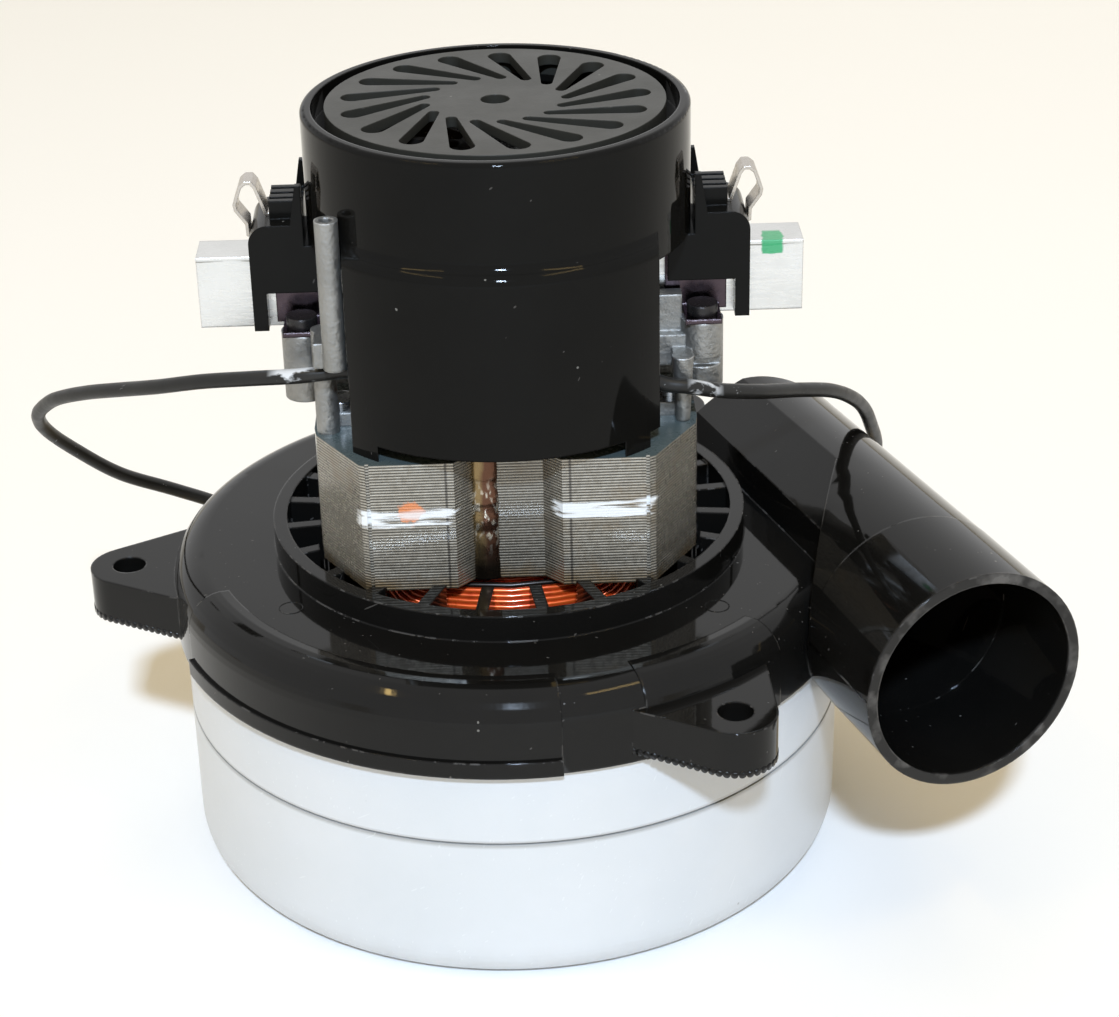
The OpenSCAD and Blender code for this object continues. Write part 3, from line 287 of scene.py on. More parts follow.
# the rim of the horn's mouth is rubbed pale
def mouthWear(made, mouth):
    t = made.tree
    along = project(t, made.place, mouth["axis"])
    rim = remap(t, along, (mouth["reach"] - 0.9) * mm, (mouth["reach"] - 0.1) * mm)
    cloud = cloudy(t, made.place, 140.0, Detail=5.0)
    across = project(t, made.place, mouth["side"])
    rim = calc(t, "MULTIPLY", rim, remap(t, across, *scaled(mouth["across"])))
    return calc(t, "MULTIPLY", rim, remap(t, cloud, 0.52, 0.70, 0.10, 0.85))


hornAngle = math.radians(-71)
hornAxis = (math.cos(hornAngle), math.sin(hornAngle), 0.0)
hornSide = (-hornAxis[1], hornAxis[0], 0.0)
bracketLook = {"colour": (0.0042, 0.0040, 0.0036), "worn": (0.0066, 0.0062, 0.0056),
               "scuff": (0.16, 0.15, 0.14), "dust": (0.35, 0.34, 0.31), "gloss": (0.03, 0.08),
               "scratched": 0.014, "scratchScale": 30.0, "dusty": 0.012, "rubbed": 0.44, "grain": 700.0,
               "bump": 0.015, "round": 0.0006, "spec": 0.22,
               "mouth": {"axis": hornAxis, "side": hornSide, "reach": 87.7, "across": (38.0, 40.0)}}
coverLook = dict(bracketLook, worn=(0.0062, 0.0059, 0.0052), gloss=(0.02, 0.06), scratched=0.004,
                 dusty=0.008, rubbed=0.34, bump=0.008, round=0.0005, spec=0.09)
del coverLook["mouth"]
grilleLook = dict(coverLook, colour=(0.025, 0.025, 0.021), worn=(0.033, 0.032, 0.027), gloss=(0.34, 0.46),
                  grain=2600.0, bump=0.12, round=0.0003, spec=0.3)
housingLook = dict(coverLook, gloss=(0.14, 0.26), grain=2000.0, bump=0.08, round=0.0004, spec=0.10)
fanLook = dict(housingLook, colour=(0.02, 0.017, 0.015))

# stack of sheets: a painted highlight and a paint dot on its front, painted shade in the notch and along the
# pads' inner edges
stackLook = {"sheets": 45, "low": 73.0, "high": 101.8, "bright": (0.50, 0.465, 0.395),
             "dark": (0.12, 0.11, 0.09), "stain": (0.20, 0.125, 0.045), "top": (0.072, 0.096, 0.098),
             "highlightColour": (0.86, 0.88, 0.89), "dot": (0.78, 0.24, 0.07),
             "highlightSpans": [(-31.6, -11.5), (9.0, 29.6)], "highlightLow": 88.15, "highlightHigh": 91.8,
             "dotAt": (-20.2, 90.9), "dotR": 2.6, "notch": (-12.4, 12.4), "recess": (34.1, 32.5),
             "fold": (12.4, 12.9), "padFace": (34.5, 34.8), "front": (-32.2, -33.5),
             "recessShade": (0.035, 0.030, 0.026)}


def stackFinish(look):
    made = Finish("sheetStack")
    t = made.tree
    pitch = (look["high"] - look["low"]) / look["sheets"] * mm
    level = calc(t, "DIVIDE", calc(t, "SUBTRACT", made.z, look["low"] * mm), pitch)
    turn = calc(t, "FRACT", level)
    ridge = calc(t, "PINGPONG", turn, 0.5)
    ridge = remap(t, ridge, 0.10, 0.36)
    sheet = put(t, "CombineXYZ", {0: calc(t, "MULTIPLY", made.x, 0.06), 1: calc(t, "MULTIPLY", made.y, 0.06),
                                  2: calc(t, "FLOOR", level)}).outputs[0]
    tone = cloudy(t, sheet, 7.31, Detail=2.0)
    fleck = cloudy(t, made.place, 900.0, Detail=3.0)
    spread = calc(t, "ADD", tone, calc(t, "MULTIPLY", fleck, 0.5))
    lit = calc(t, "MULTIPLY", ridge, remap(t, spread, 0.5, 1.0, 0.45, 1.15))
    base = blend(t, lit, made.colour(look["dark"]), made.colour(look["bright"]))
    cloud = cloudy(t, made.place, 75.0, Detail=5.0, Roughness=0.65)
    edgeLow = remap(t, made.z, (look["low"] + 5) * mm, look["low"] * mm, 0.0, 0.25)
    varnish = remap(t, calc(t, "ADD", cloud, edgeLow), 0.56, 0.78, 0.0, 0.75)
    base = blend(t, varnish, base, made.colour(look["stain"]))
    facing = parts(t, put(t, "NewGeometry").outputs["Normal"])["Z"]
    flat = remap(t, calc(t, "ABSOLUTE", facing), 0.6, 0.8)
    base = blend(t, flat, base, made.colour(look["top"]))
    # painted shade: darker deeper into the notch and along the pads' inner edges
    inward = calc(t, "ABSOLUTE", made.y)
    deep = remap(t, inward, *scaled(look["recess"]), 0.0, 0.25)
    deep = calc(t, "MULTIPLY", deep, within(t, made.x, *scaled(look["notch"]), 0.0003))
    fold = within(t, calc(t, "ABSOLUTE", made.x), *scaled(look["fold"]), 0.00012)
    fold = calc(t, "MULTIPLY", fold, remap(t, inward, *scaled(look["padFace"]), 0.0, 0.75))
    base = blend(t, calc(t, "MAXIMUM", deep, fold), base, made.colour(look["recessShade"]))
    # the paint mask is a painted highlight: white bands drawn across the pads' fronts
    paint = flashHighlight(made, look)
    dot = dotMask(made, look)
    base = blend(t, calc(t, "MULTIPLY", dot, 0.85), base, made.colour(look["dot"]))
    thin = remap(t, dot, 0, 1, 0.95, 0.72)
    base = blend(t, calc(t, "MULTIPLY", paint, thin), base, made.colour(look["highlightColour"]))
    cover = calc(t, "MAXIMUM", calc(t, "MAXIMUM", paint, dot), flat)
    metal = remap(t, cover, 0, 1, 0.65, 0.0)
    rough = remap(t, calc(t, "ADD", fleck, cloud), 0.7, 1.3, 0.20, 0.36)
    made.set(base=base, metal=metal, rough=rough, coat=0.35, coatRough=0.12)
    height = calc(t, "MULTIPLY", ridge, remap(t, calc(t, "MAXIMUM", paint, flat), 0, 1, 1.0, 0.15))
    made.relief(height, 0.42, 0.00025)
    return made.material


# painted highlight of a flash: white bands across the two pads' fronts, thinned in ragged patches by noise
def flashHighlight(made, look):
    t = made.tree
    wob = cloudy(t, stretch(t, made.place, (1, 1, 9)), 130.0, Detail=4.0)
    shift = remap(t, wob, 0.3, 0.7, -0.0016, 0.0016)
    x = calc(t, "ADD", made.x, shift)
    tilt = calc(t, "MULTIPLY", made.x, -0.018)
    z = calc(t, "ADD", calc(t, "ADD", made.z, tilt), calc(t, "MULTIPLY", shift, 0.3))
    spans = [within(t, x, a * mm, b * mm, 0.0005) for a, b in look["highlightSpans"]]
    band = within(t, z, look["highlightLow"] * mm, look["highlightHigh"] * mm, 0.0003)
    front = remap(t, made.y, *scaled(look["front"]))
    ragged = cloudy(t, stretch(t, made.place, (0.25, 1, 3)), 260.0, Detail=3.0)
    full = calc(t, "MULTIPLY", calc(t, "MAXIMUM", *spans), calc(t, "MULTIPLY", band, front))
    return calc(t, "MULTIPLY", full, remap(t, ragged, 0.36, 0.46))


def dotMask(made, look):
    t = made.tree
    x, z = look["dotAt"]
    aside = calc(t, "SUBTRACT", made.x, x * mm)
    above = calc(t, "SUBTRACT", made.z, z * mm)
    square = calc(t, "ADD", calc(t, "MULTIPLY", aside, aside), calc(t, "MULTIPLY", above, above))
    away = calc(t, "SQRT", square)
    cloud = cloudy(t, made.place, 480.0, Detail=4.0)
    away = calc(t, "ADD", away, remap(t, cloud, 0.3, 0.7, -0.0011, 0.0011))
    disc = remap(t, away, look["dotR"] * mm * 1.12, look["dotR"] * mm * 0.86)
    return calc(t, "MULTIPLY", disc, remap(t, made.y, *scaled(look["front"])))


# bright wire, with painted shade, near black and dull, just below and above the core
wireLook = {"colour": (0.95, 0.15, 0.022), "deep": (0.62, 0.07, 0.010), "varnish": 0.6,
            "paintedShade": (0.012, 0.008, 0.006), "under": (70.9, 74.0), "over": (101.0, 101.6),
            "near": (12.0, 14.0)}


def wireFinish(name, look):
    made = Finish(name)
    t = made.tree
    cloud = cloudy(t, made.place, 210.0, Detail=4.0)
    base = blend(t, remap(t, cloud, 0.35, 0.68), made.colour(look["deep"]), made.colour(look["colour"]))
    pool = made.effect(smudges, Scale=120.0)
    # painted shade: the wire is drawn near black and loses its coat just under the core and above 101 mm, on
    # the front and back coils
    under = within(t, made.z, *scaled(look["under"]), 0.0003)
    over = remap(t, made.z, *scaled(look["over"]))
    near = remap(t, calc(t, "ABSOLUTE", made.y), *scaled(look["near"]))
    paintedShade = calc(t, "MULTIPLY", calc(t, "MAXIMUM", under, over), near)
    base = blend(t, paintedShade, base, made.colour(look["paintedShade"]))
    made.set(base=base, metal=0.40, rough=remap(t, pool, 0, 1, 0.18, 0.36),
             coat=remap(t, paintedShade, 0, 1, look["varnish"], 0.0), coatRough=0.08)
    made.relief(made.effect(skin, Scale=1800.0), 0.05, 0.0001)
    return made.material


# bare and plated metals: tone, grain direction, rub and dirt; on the tube the edge colour is darker, a
# painted shade on its rounded corners
def metalFinish(name, look):
    made = Finish(name)
    t = made.tree
    base = blend(t, made.effect(smudges, Scale=55.0), made.colour(look["colour"]),
                 made.colour(look["tone"]))
    if "dirt" in look:
        patch = cloudy(t, made.place, 95.0, Detail=6.0, Roughness=0.7)
        stain = remap(t, patch, look["clean"], look["clean"] + 0.14, 0.0, 0.8)
        base = blend(t, stain, base, made.colour(look["dirt"]))
    rub = made.effect(edgeRub, Width=0.0005, Amount=0.55)
    base = blend(t, calc(t, "MULTIPLY", rub, look.get("rub", 0.3)), base, made.colour(look["edge"]))
    low, high = look["rough"]
    lines = cloudy(t, stretch(t, made.place, look.get("grain", (1, 1, 1))), look["fine"], Detail=4.0)
    made.set(base=base, metal=look.get("metal", 1.0), rough=remap(t, lines, 0.3, 0.7, low, high))
    made.relief(lines, look["bump"], look.get("depth", 0.0001), look.get("round", 0.0003))
    return made.material


castLook = {"colour": (0.23, 0.227, 0.212), "tone": (0.35, 0.345, 0.328), "edge": (0.78, 0.78, 0.76),
            "rough": (0.36, 0.58), "dirt": (0.13, 0.12, 0.10), "clean": 0.60, "fine": 900.0, "bump": 0.7,
            "depth": 0.0004, "round": 0.0006, "metal": 0.85, "rub": 0.5}
# the tube's edge colour is darker than its face: painted shade on its rounded corners
tubeLook = {"colour": (0.66, 0.66, 0.64), "tone": (0.76, 0.76, 0.745), "edge": (0.45, 0.43, 0.40),
            "rough": (0.22, 0.40), "dirt": (0.34, 0.32, 0.29), "clean": 0.66, "fine": 240.0,
            "grain": (1, 12, 12), "bump": 0.10, "round": 0.0005}
strapLook = {"colour": (0.055, 0.040, 0.047), "tone": (0.085, 0.065, 0.075), "edge": (0.22, 0.19, 0.19),
             "rough": (0.16, 0.32), "fine": 700.0, "bump": 0.10, "round": 0.0005}
screwLook = {"colour": (0.018, 0.017, 0.017), "tone": (0.035, 0.032, 0.032), "edge": (0.14, 0.13, 0.13),
             "rough": (0.22, 0.40), "fine": 900.0, "bump": 0.10, "metal": 0.6, "round": 0.0008}
clipLook = {"colour": (0.42, 0.385, 0.34), "tone": (0.56, 0.52, 0.47), "edge": (0.72, 0.69, 0.64),
            "rough": (0.20, 0.34), "dirt": (0.28, 0.11, 0.07), "clean": 0.68, "fine": 500.0,
            "grain": (6, 1, 6), "bump": 0.06}
steelLook = {"colour": (0.50, 0.505, 0.515), "tone": (0.60, 0.605, 0.61), "edge": (0.74, 0.74, 0.74),
             "rough": (0.18, 0.34), "fine": 380.0, "grain": (1, 1, 14), "bump": 0.06}
sheetLook = {"colour": (0.70, 0.71, 0.72), "tone": (0.80, 0.805, 0.81), "edge": (0.88, 0.88, 0.88),
             "rough": (0.26, 0.42), "fine": 260.0, "grain": (1, 16, 16), "bump": 0.06}
endLook = {"colour": (0.66, 0.645, 0.60), "tone": (0.74, 0.725, 0.68), "edge": (0.82, 0.81, 0.78),
           "rough": (0.22, 0.38), "fine": 520.0, "bump": 0.08}
resinLook = {"colour": (0.13, 0.055, 0.024), "tone": (0.18, 0.085, 0.04), "edge": (0.30, 0.17, 0.09),
             "rough": (0.28, 0.42), "fine": 800.0, "bump": 0.10, "metal": 0.0}
carbonLook = {"colour": (0.022, 0.022, 0.024), "tone": (0.042, 0.042, 0.045), "edge": (0.12, 0.12, 0.125),
              "rough": (0.42, 0.62), "fine": 1500.0, "bump": 0.25, "metal": 0.1}

commutatorLook = {"colour": (0.66, 0.30, 0.15), "tone": (0.76, 0.39, 0.21), "film": (0.11, 0.055, 0.035),
                  "filmLow": 120.5, "filmHigh": 136.5}


def commutatorFinish(look):
    made = Finish("commutatorBars")
    t = made.tree
    lines = cloudy(t, stretch(t, made.place, (1, 1, 60)), 60.0, Detail=5.0)
    base = blend(t, lines, made.colour(look["colour"]), made.colour(look["tone"]))
    film = within(t, made.z, look["filmLow"] * mm, look["filmHigh"] * mm, 0.0008)
    film = calc(t, "MULTIPLY", film, remap(t, lines, 0.3, 0.7, 0.45, 0.95))
    base = blend(t, film, base, made.colour(look["film"]))
    made.set(base=base, metal=0.9, rough=remap(t, lines, 0.3, 0.7, 0.18, 0.38))
    made.relief(lines, 0.12, 0.0001, 0.0002)
    return made.material


jacketLook = {"colour": (0.0095, 0.009, 0.0082), "worn": (0.018, 0.017, 0.015), "scuff": (0.62, 0.63, 0.64),
              "pale": [(-47.5, -39.0), (38.6, 44.2)], "front": (-15.0, -18.5)}


# insulation with a painted highlight, a pale stretch near each end of the brush gear, stronger on upward
# faces
def jacketFinish(look):
    made = Finish("leadJacket")
    t = made.tree
    base = blend(t, made.effect(smudges, Scale=90.0), made.colour(look["colour"]), made.colour(look["worn"]))
    cloud = cloudy(t, stretch(t, made.place, (0.5, 1, 1)), 420.0, Detail=5.0)
    spans = [within(t, made.x, a * mm, b * mm, 0.0012) for a, b in look["pale"]]
    front = remap(t, made.y, *scaled(look["front"]))
    pale = calc(t, "MULTIPLY", calc(t, "MAXIMUM", *spans), front)
    # painted highlight: the pale stretch lies on the front over the spans in pale, stronger on upward faces
    upper = parts(t, put(t, "NewGeometry").outputs["Normal"])["Z"]
    highlightNoise = calc(t, "ADD", cloud, calc(t, "MULTIPLY", upper, 0.14))
    pale = calc(t, "MULTIPLY", pale, remap(t, highlightNoise, 0.50, 0.60))
    marks = calc(t, "MULTIPLY", made.effect(scratches, Scale=40.0, Amount=0.015), 0.25)
    base = blend(t, calc(t, "MAXIMUM", pale, marks), base, made.colour(look["scuff"]))
    made.set(base=base, rough=remap(t, cloud, 0.3, 0.7, 0.28, 0.44), spec=0.3)
    made.relief(made.effect(skin, Scale=1200.0), 0.10, 0.0002)
    return made.material


# plated tube: a seam along the upper edge of the front and back, and a dab of ink on the right one
tubeMarks = {"fold": 135.4, "shade": (0.16, 0.15, 0.13), "ink": (0.012, 0.36, 0.13), "inkX": (54.6, 58.8),
             "inkZ": 133.6}


def tubeFinish(look, marks):
    material = metalFinish("brushTube", look)
    tree = material.node_tree
    shader = tree.nodes["Principled BSDF"]
    was = shader.inputs["Base Color"].links[0].from_socket
    place = put(tree, "TexCoord").outputs["Object"]
    x, y, z = parts(tree, place)
    cloud = cloudy(tree, stretch(tree, place, (0.4, 1, 1)), 300.0, Detail=4.0)
    wavy = calc(tree, "ADD", z, remap(tree, cloud, 0.3, 0.7, -0.0002, 0.0002))
    seam = within(tree, wavy, (marks["fold"] - 0.16) * mm, (marks["fold"] + 0.16) * mm, 0.0001)
    seam = calc(tree, "MULTIPLY", seam, remap(tree, cloud, 0.40, 0.60, 0.15, 0.9))
    base = blend(tree, seam, was, (*marks["shade"], 1.0))
    low, high = marks["inkX"]
    slack = remap(tree, cloud, 0.3, 0.7, -0.0005, 0.0005)
    ink = within(tree, calc(tree, "ADD", x, slack), low * mm, high * mm, 0.0002)
    above = remap(tree, calc(tree, "ADD", z, slack), (marks["inkZ"] - 0.2) * mm, marks["inkZ"] * mm)
    ink = calc(tree, "MULTIPLY", ink, above)
    ink = calc(tree, "MULTIPLY", ink, remap(tree, y, 0.001, 0.0))
    base = blend(tree, calc(tree, "MULTIPLY", ink, 0.92), base, (*marks["ink"], 1.0))
    tree.links.new(base, shader.inputs["Base Color"])
    tree.links.new(remap(tree, ink, 0, 1, 1.0, 0.1), shader.inputs["Metallic"])
    return material


finishes = {
    "paint": paintFinish(paintLook), "bracket": blackFinish("bracketBlack", bracketLook),
    "cover": blackFinish("coverBlack", coverLook), "grille": blackFinish("grilleBlack", grilleLook),
    "housing": blackFinish("housingBlack", housingLook), "fan": blackFinish("fanBlack", fanLook),
    "stack": stackFinish(stackLook), "wire": wireFinish("enamelWire", wireLook),
    "cast": metalFinish("castAlloy", castLook),
    "tube": tubeFinish(tubeLook, tubeMarks), "strap": metalFinish("strapDark", strapLook),
    "screw": metalFinish("screwBlack", screwLook), "clip": metalFinish("clipPlated", clipLook),
    "steel": metalFinish("groundSteel", steelLook), "sheet": metalFinish("rolledAlloy", sheetLook),
    "end": metalFinish("tinnedEnds", endLook), "resin": metalFinish("mouldedResin", resinLook),
    "carbon": metalFinish("pressedCarbon", carbonLook), "commutator": commutatorFinish(commutatorLook),
    "jacket": jacketFinish(jacketLook)}
print("finishes made:", len(finishes))

# which finish each CAD node takes
dressed = {
    "paint": ["lower_fan_shell", "upper_fan_shell"], "bracket": ["fan_bracket"], "cover": ["motor_cover"],
    "grille": ["intake_grille"], "housing": ["brush_housing_left", "brush_housing_right"],
    "fan": ["cooling_fan"], "stack": ["field_core", "armature_core"],
    "wire": ["field_coil_front", "field_coil_back", "coil_former_front", "coil_former_back",
             "armature_winding"],
    "cast": ["commutator_bracket"], "tube": ["brush_tube_left", "brush_tube_right"],
    "strap": ["brush_clamp_left", "brush_clamp_right"], "screw": ["clamp_screws"],
    "clip": ["terminal_clip_left", "terminal_clip_right"],
    "steel": ["bearing_retainer", "retainer_screws", "fan_spacers", "fan_washers", "shaft_nut", "shaft",
              "lower_bearing_outer", "lower_bearing_inner", "lower_bearing_balls", "upper_bearing_outer",
              "upper_bearing_inner", "upper_bearing_balls", "through_bolts", "brush_spring_left",
              "brush_spring_right"],
    "sheet": ["lower_fan", "stationary_fan", "upper_fan"],
    "end": ["lead_splices", "lead_terminal_left", "lead_terminal_right"], "resin": ["commutator_hub"],
    "carbon": ["carbon_brush_left", "carbon_brush_right"], "commutator": ["commutator"],
    "jacket": ["lead_left", "lead_right"]}

for finish, names in dressed.items():
    for name in names:
        nodes[name].data.materials.clear()
        nodes[name].data.materials.append(finishes[finish])
print("nodes dressed:", sum(len(names) for names in dressed.values()))

addCamera(view)
bpy.context.scene.view_settings.view_transform = "Standard"

# leads, on the same routes as their solids
leads = {"diameter": 3.2, "routes": {
    "left": [(-20, -22, 117), (-27, -22.5, 117.4), (-33, -22.5, 117.5), (-42, -22, 116.5),
             (-53, -18, 114.5), (-63, -13, 112), (-73, -7, 108.5), (-82, 0, 105), (-90, 7, 101.5),
             (-97, 14, 97.5), (-101.5, 20, 93.5), (-105.5, 27, 87.5), (-105.5, 34, 80.5),
             (-101, 42, 71.5), (-92.5, 50, 61), (-81.5, 57, 53), (-72, 63, 46), (-60, 71, 36),
             (-48, 79, 25), (-36, 87, 14), (-24, 93, 6), (-13, 96, 2), (-3, 97, 1.8), (6, 97, 1.8)],
    "right": [(20, -22, 116.4), (27, -22.5, 114.5), (33, -22, 112), (38, -21.5, 111), (45, -18.5, 108.5),
              (54, -13, 105.5), (63, -4, 101.5), (71, 5, 97), (77, 14, 91), (81, 22, 84.5),
              (84, 30, 76.5), (86.5, 38, 68), (87, 47, 58), (85, 56, 48), (80, 65, 38), (73, 74, 28),
              (64, 82, 18), (55, 90, 10), (44, 97, 4), (32, 103, 2), (19, 107, 1.8), (5, 109, 1.8),
              (-9, 110, 1.8), (-22, 110, 1.8), (-35, 110, 1.8)]}}


def wireCurve(name, radius, finish, sides=2):
    curve = bpy.data.curves.new(name, "CURVE")
    curve.dimensions = "3D"
    curve.bevel_depth = radius * mm
    curve.bevel_resolution = sides
    curve.use_fill_caps = True
    curve.materials.append(finishes[finish])
    return curve


def smoothRun(curve, points):
    run = curve.splines.new("BEZIER")
    run.bezier_points.add(len(points) - 1)
    for i, knot in enumerate(run.bezier_points):
        here = Vector(points[i])
        reach = (Vector(points[min(i + 1, len(points) - 1)]) - Vector(points[max(i - 1, 0)])) / 6
        knot.handle_left_type = knot.handle_right_type = "FREE"
        knot.co, knot.handle_left, knot.handle_right = here * mm, (here - reach) * mm, (here + reach) * mm
    return run


def straightRun(curve, points):
    run = curve.splines.new("POLY")
    run.points.add(len(points) - 1)
    for knot, point in zip(run.points, points):
        knot.co = (*(Vector(point) * mm), 1.0)


for side, route in leads["routes"].items():
    curve = wireCurve("lead." + side, leads["diameter"] / 2, "jacket", 4)
    curve.resolution_u = 8
    length = smoothRun(curve, route).calc_length()
    lead = link(bpy.data.objects.new("lead." + side, curve))
    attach(lead, "housing")
    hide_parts("lead_" + side)
    print("lead", side, round(length, 4), "m")

# field coils: one wire in two layers round each pole
coil = {"wire": 1.28, "halfWidth": 23.6, "halfHeight": 19.9, "corner": 6.0, "middle": 87.4, "out": 20.4,
        "bow": 6.0, "layers": [(4.55, 5.35, 2.0, 21), (3.35, 4.15, 1.4, 16)]}


# one turn as place, outward direction and share of the bow
def coilStops(coil):
    flatX, flatZ = coil["halfWidth"] - coil["corner"], coil["halfHeight"] - coil["corner"]
    stops = []
    for quarter in range(4):
        first = math.pi / 2 * (1 - quarter)
        side, rise = (1, 1, -1, -1)[quarter], (1, -1, -1, 1)[quarter]
        if quarter % 2 == 0:
            stops.append(((0, rise * coil["halfHeight"]), (0, rise), 1.0))
            stops.append(((side * flatX / 2, rise * coil["halfHeight"]), (0, rise), 0.82))
        else:
            stops.append(((side * coil["halfWidth"], 0), (side, 0), 0.0))
        for step in range(7):
            a = first - math.pi / 2 * step / 6
            out = (math.cos(a), math.sin(a))
            place = (side * flatX + coil["corner"] * out[0], rise * flatZ + coil["corner"] * out[1])
            stops.append((place, out, 0.45 * out[1] ** 2))
        if quarter % 2 == 1:
            stops.append(((side * flatX / 2, rise * coil["halfHeight"]), (0, rise), 0.82))
    return stops


# place across the bundle after a share of the way along three of its sides
def bundlePlace(share, halfU, halfV, corner):
    longSide, turn, shortSide = 2 * halfU - corner, corner * math.pi / 2, 2 * (halfV - corner)
    s = share * (2 * longSide + 2 * turn + shortSide)
    if s < longSide:
        return s - halfU, -halfV
    s -= longSide
    if s < turn:
        a = s / corner - math.pi / 2
        return halfU - corner + corner * math.cos(a), corner - halfV + corner * math.sin(a)
    s -= turn
    if s < shortSide:
        return halfU, s - shortSide / 2
    s -= shortSide
    if s < turn:
        a = s / corner
        return halfU - corner + corner * math.cos(a), halfV - corner + corner * math.sin(a)
    return halfU - corner - (s - turn), halfV


def coilRoute(coil):
    stops = coilStops(coil)
    route = []
    for layer, (halfU, halfV, corner, turns) in enumerate(coil["layers"]):
        total = turns * len(stops)
        for i in range(total):
            (x, z), (outX, outZ), lean = stops[i % len(stops)]
            share = i / total if layer % 2 == 0 else 1 - i / total
            u, v = bundlePlace(share, halfU, halfV, corner)
            route.append((x + u * outX, v - coil["out"] - coil["bow"] * lean, coil["middle"] + z + u * outZ))
    return route


for side, way in (("front", 1), ("back", -1)):
    curve = wireCurve("fieldWinding." + side, coil["wire"] / 2, "wire")
    straightRun(curve, [(way * x, way * y, z) for x, y, z in coilRoute(coil)])
    winding = link(bpy.data.objects.new("fieldWinding." + side, curve))
    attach(winding, "housing")
    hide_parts("field_coil_" + side, "coil_former_" + side)
print("field coils wound")

# armature: end turns that cross from slot to slot, and risers to the commutator
armature = {"wire": 0.95, "slots": 12, "pitch": 4, "strands": 4, "slotR": 14.0, "low": 73.0,
            "high": 101.8, "topRise": 8.4, "lowRise": 6.9, "riserR": 12.4, "riserTop": 117.9}


def endTurns(curve, plan, z, rise):
    for slot in range(plan["slots"]):
        for strand in range(plan["strands"]):
            a = 2 * math.pi * (slot / plan["slots"] + 0.012 * (strand - 1.5))
            b = a + 2 * math.pi * plan["pitch"] / plan["slots"]
            high = z + rise * (0.16 + 0.78 * (slot + 0.35 * (strand % 2)) / plan["slots"])
            r = plan["slotR"] - 0.5 + 0.35 * (strand % 2)
            start = Vector((r * math.cos(a), r * math.sin(a), 0))
            end = Vector((r * math.cos(b), r * math.sin(b), 0))
            points = [(start.x, start.y, z - math.copysign(1.5, rise))]
            for step in range(9):
                t = step / 8
                flat = start.lerp(end, t)
                flat *= max(1.0, 7.4 / flat.length)
                lift = z + (high - z) * min(1.0, 2.4 * math.sin(math.pi * (0.06 + 0.88 * t)))
                points.append((flat.x, flat.y, lift))
            points.append((end.x, end.y, z - math.copysign(1.5, rise)))
            smoothRun(curve, points)


def risers(curve, plan):
    for bar in range(2 * plan["slots"]):
        a = math.pi * bar / plan["slots"]
        turn = a - 0.35
        bend = turn + 0.12
        root, r = plan["high"] + plan["topRise"], plan["riserR"]
        smoothRun(curve, [(9.5 * math.cos(turn), 9.5 * math.sin(turn), root - 1.5),
                          (11.8 * math.cos(bend), 11.8 * math.sin(bend), root + 1.2),
                          (r * math.cos(a), r * math.sin(a), plan["riserTop"] - 2.4),
                          (r * math.cos(a), r * math.sin(a), plan["riserTop"])])


curve = wireCurve("armatureWinding", armature["wire"] / 2, "wire", 1)
curve.resolution_u = 2
endTurns(curve, armature, armature["high"], armature["topRise"])
endTurns(curve, armature, armature["low"], -armature["lowRise"])
risers(curve, armature)
winding = link(bpy.data.objects.new("armatureWinding", curve))
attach(winding, "rotor")
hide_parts("armature_winding")
print("armature wound")

# brush springs, each an even helix of wire from near to far
spring = {"wire": 0.9, "radius": 2.8, "turns": 6, "near": 38.0, "far": 61.7, "end": 62.2, "height": 128.5,
          "travel": 6.0}


def springMesh(name, plan, way):
    curve = wireCurve(name, plan["wire"] / 2, "steel", 2)
    steps = 20 * plan["turns"]
    points = []
    for i in range(steps + 1):
        a = 2 * math.pi * plan["turns"] * i / steps
        x = plan["near"] + (plan["far"] - plan["near"]) * i / steps
        points.append((way * x, plan["radius"] * math.cos(a), plan["height"] + plan["radius"] * math.sin(a)))
    straightRun(curve, points)
    shape = link(bpy.data.objects.new(name, curve))
    mesh = bpy.data.meshes.new_from_object(shape.evaluated_get(bpy.context.evaluated_depsgraph_get()))
    bpy.data.objects.remove(shape)
    mesh.name = name
    return mesh


for side, way in (("left", -1), ("right", 1)):
    piece = link(bpy.data.objects.new("spring." + side, springMesh("spring." + side, spring, way)))
    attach(piece, "housing")
    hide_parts("brush_spring_" + side)
    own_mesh(piece)
print("springs wound")


def addPiece(name, bm, finish, smooth=True):
    bmesh.ops.remove_doubles(bm, verts=bm.verts, dist=1e-7)
    bmesh.ops.recalc_face_normals(bm, faces=bm.faces)
    mesh = bpy.data.meshes.new(name)
    bm.to_mesh(mesh)
    bm.free()
    mesh.materials.append(finishes[finish])
    for face in mesh.polygons:
        face.use_smooth = smooth
    piece = link(bpy.data.objects.new(name, mesh))
    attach(piece, "housing")


# weld bead in the stack's notch: tan on the left, brown on the right, bright flecks that are painted glints,
# a dark foot
bead = {"x": -4.85, "y": -31.0, "low": 73.2, "high": 101.6, "half": 2.85, "proud": 1.15, "steps": 72}
beadLook = {"tan": (0.26, 0.185, 0.09), "brown": (0.12, 0.058, 0.036), "glint": (0.62, 0.57, 0.48),
            "dark": (0.045, 0.034, 0.024), "split": (4.9, 6.0), "bareAndGlint": (81.0, 94.0),
            "foot": (81.0, 76.0)}


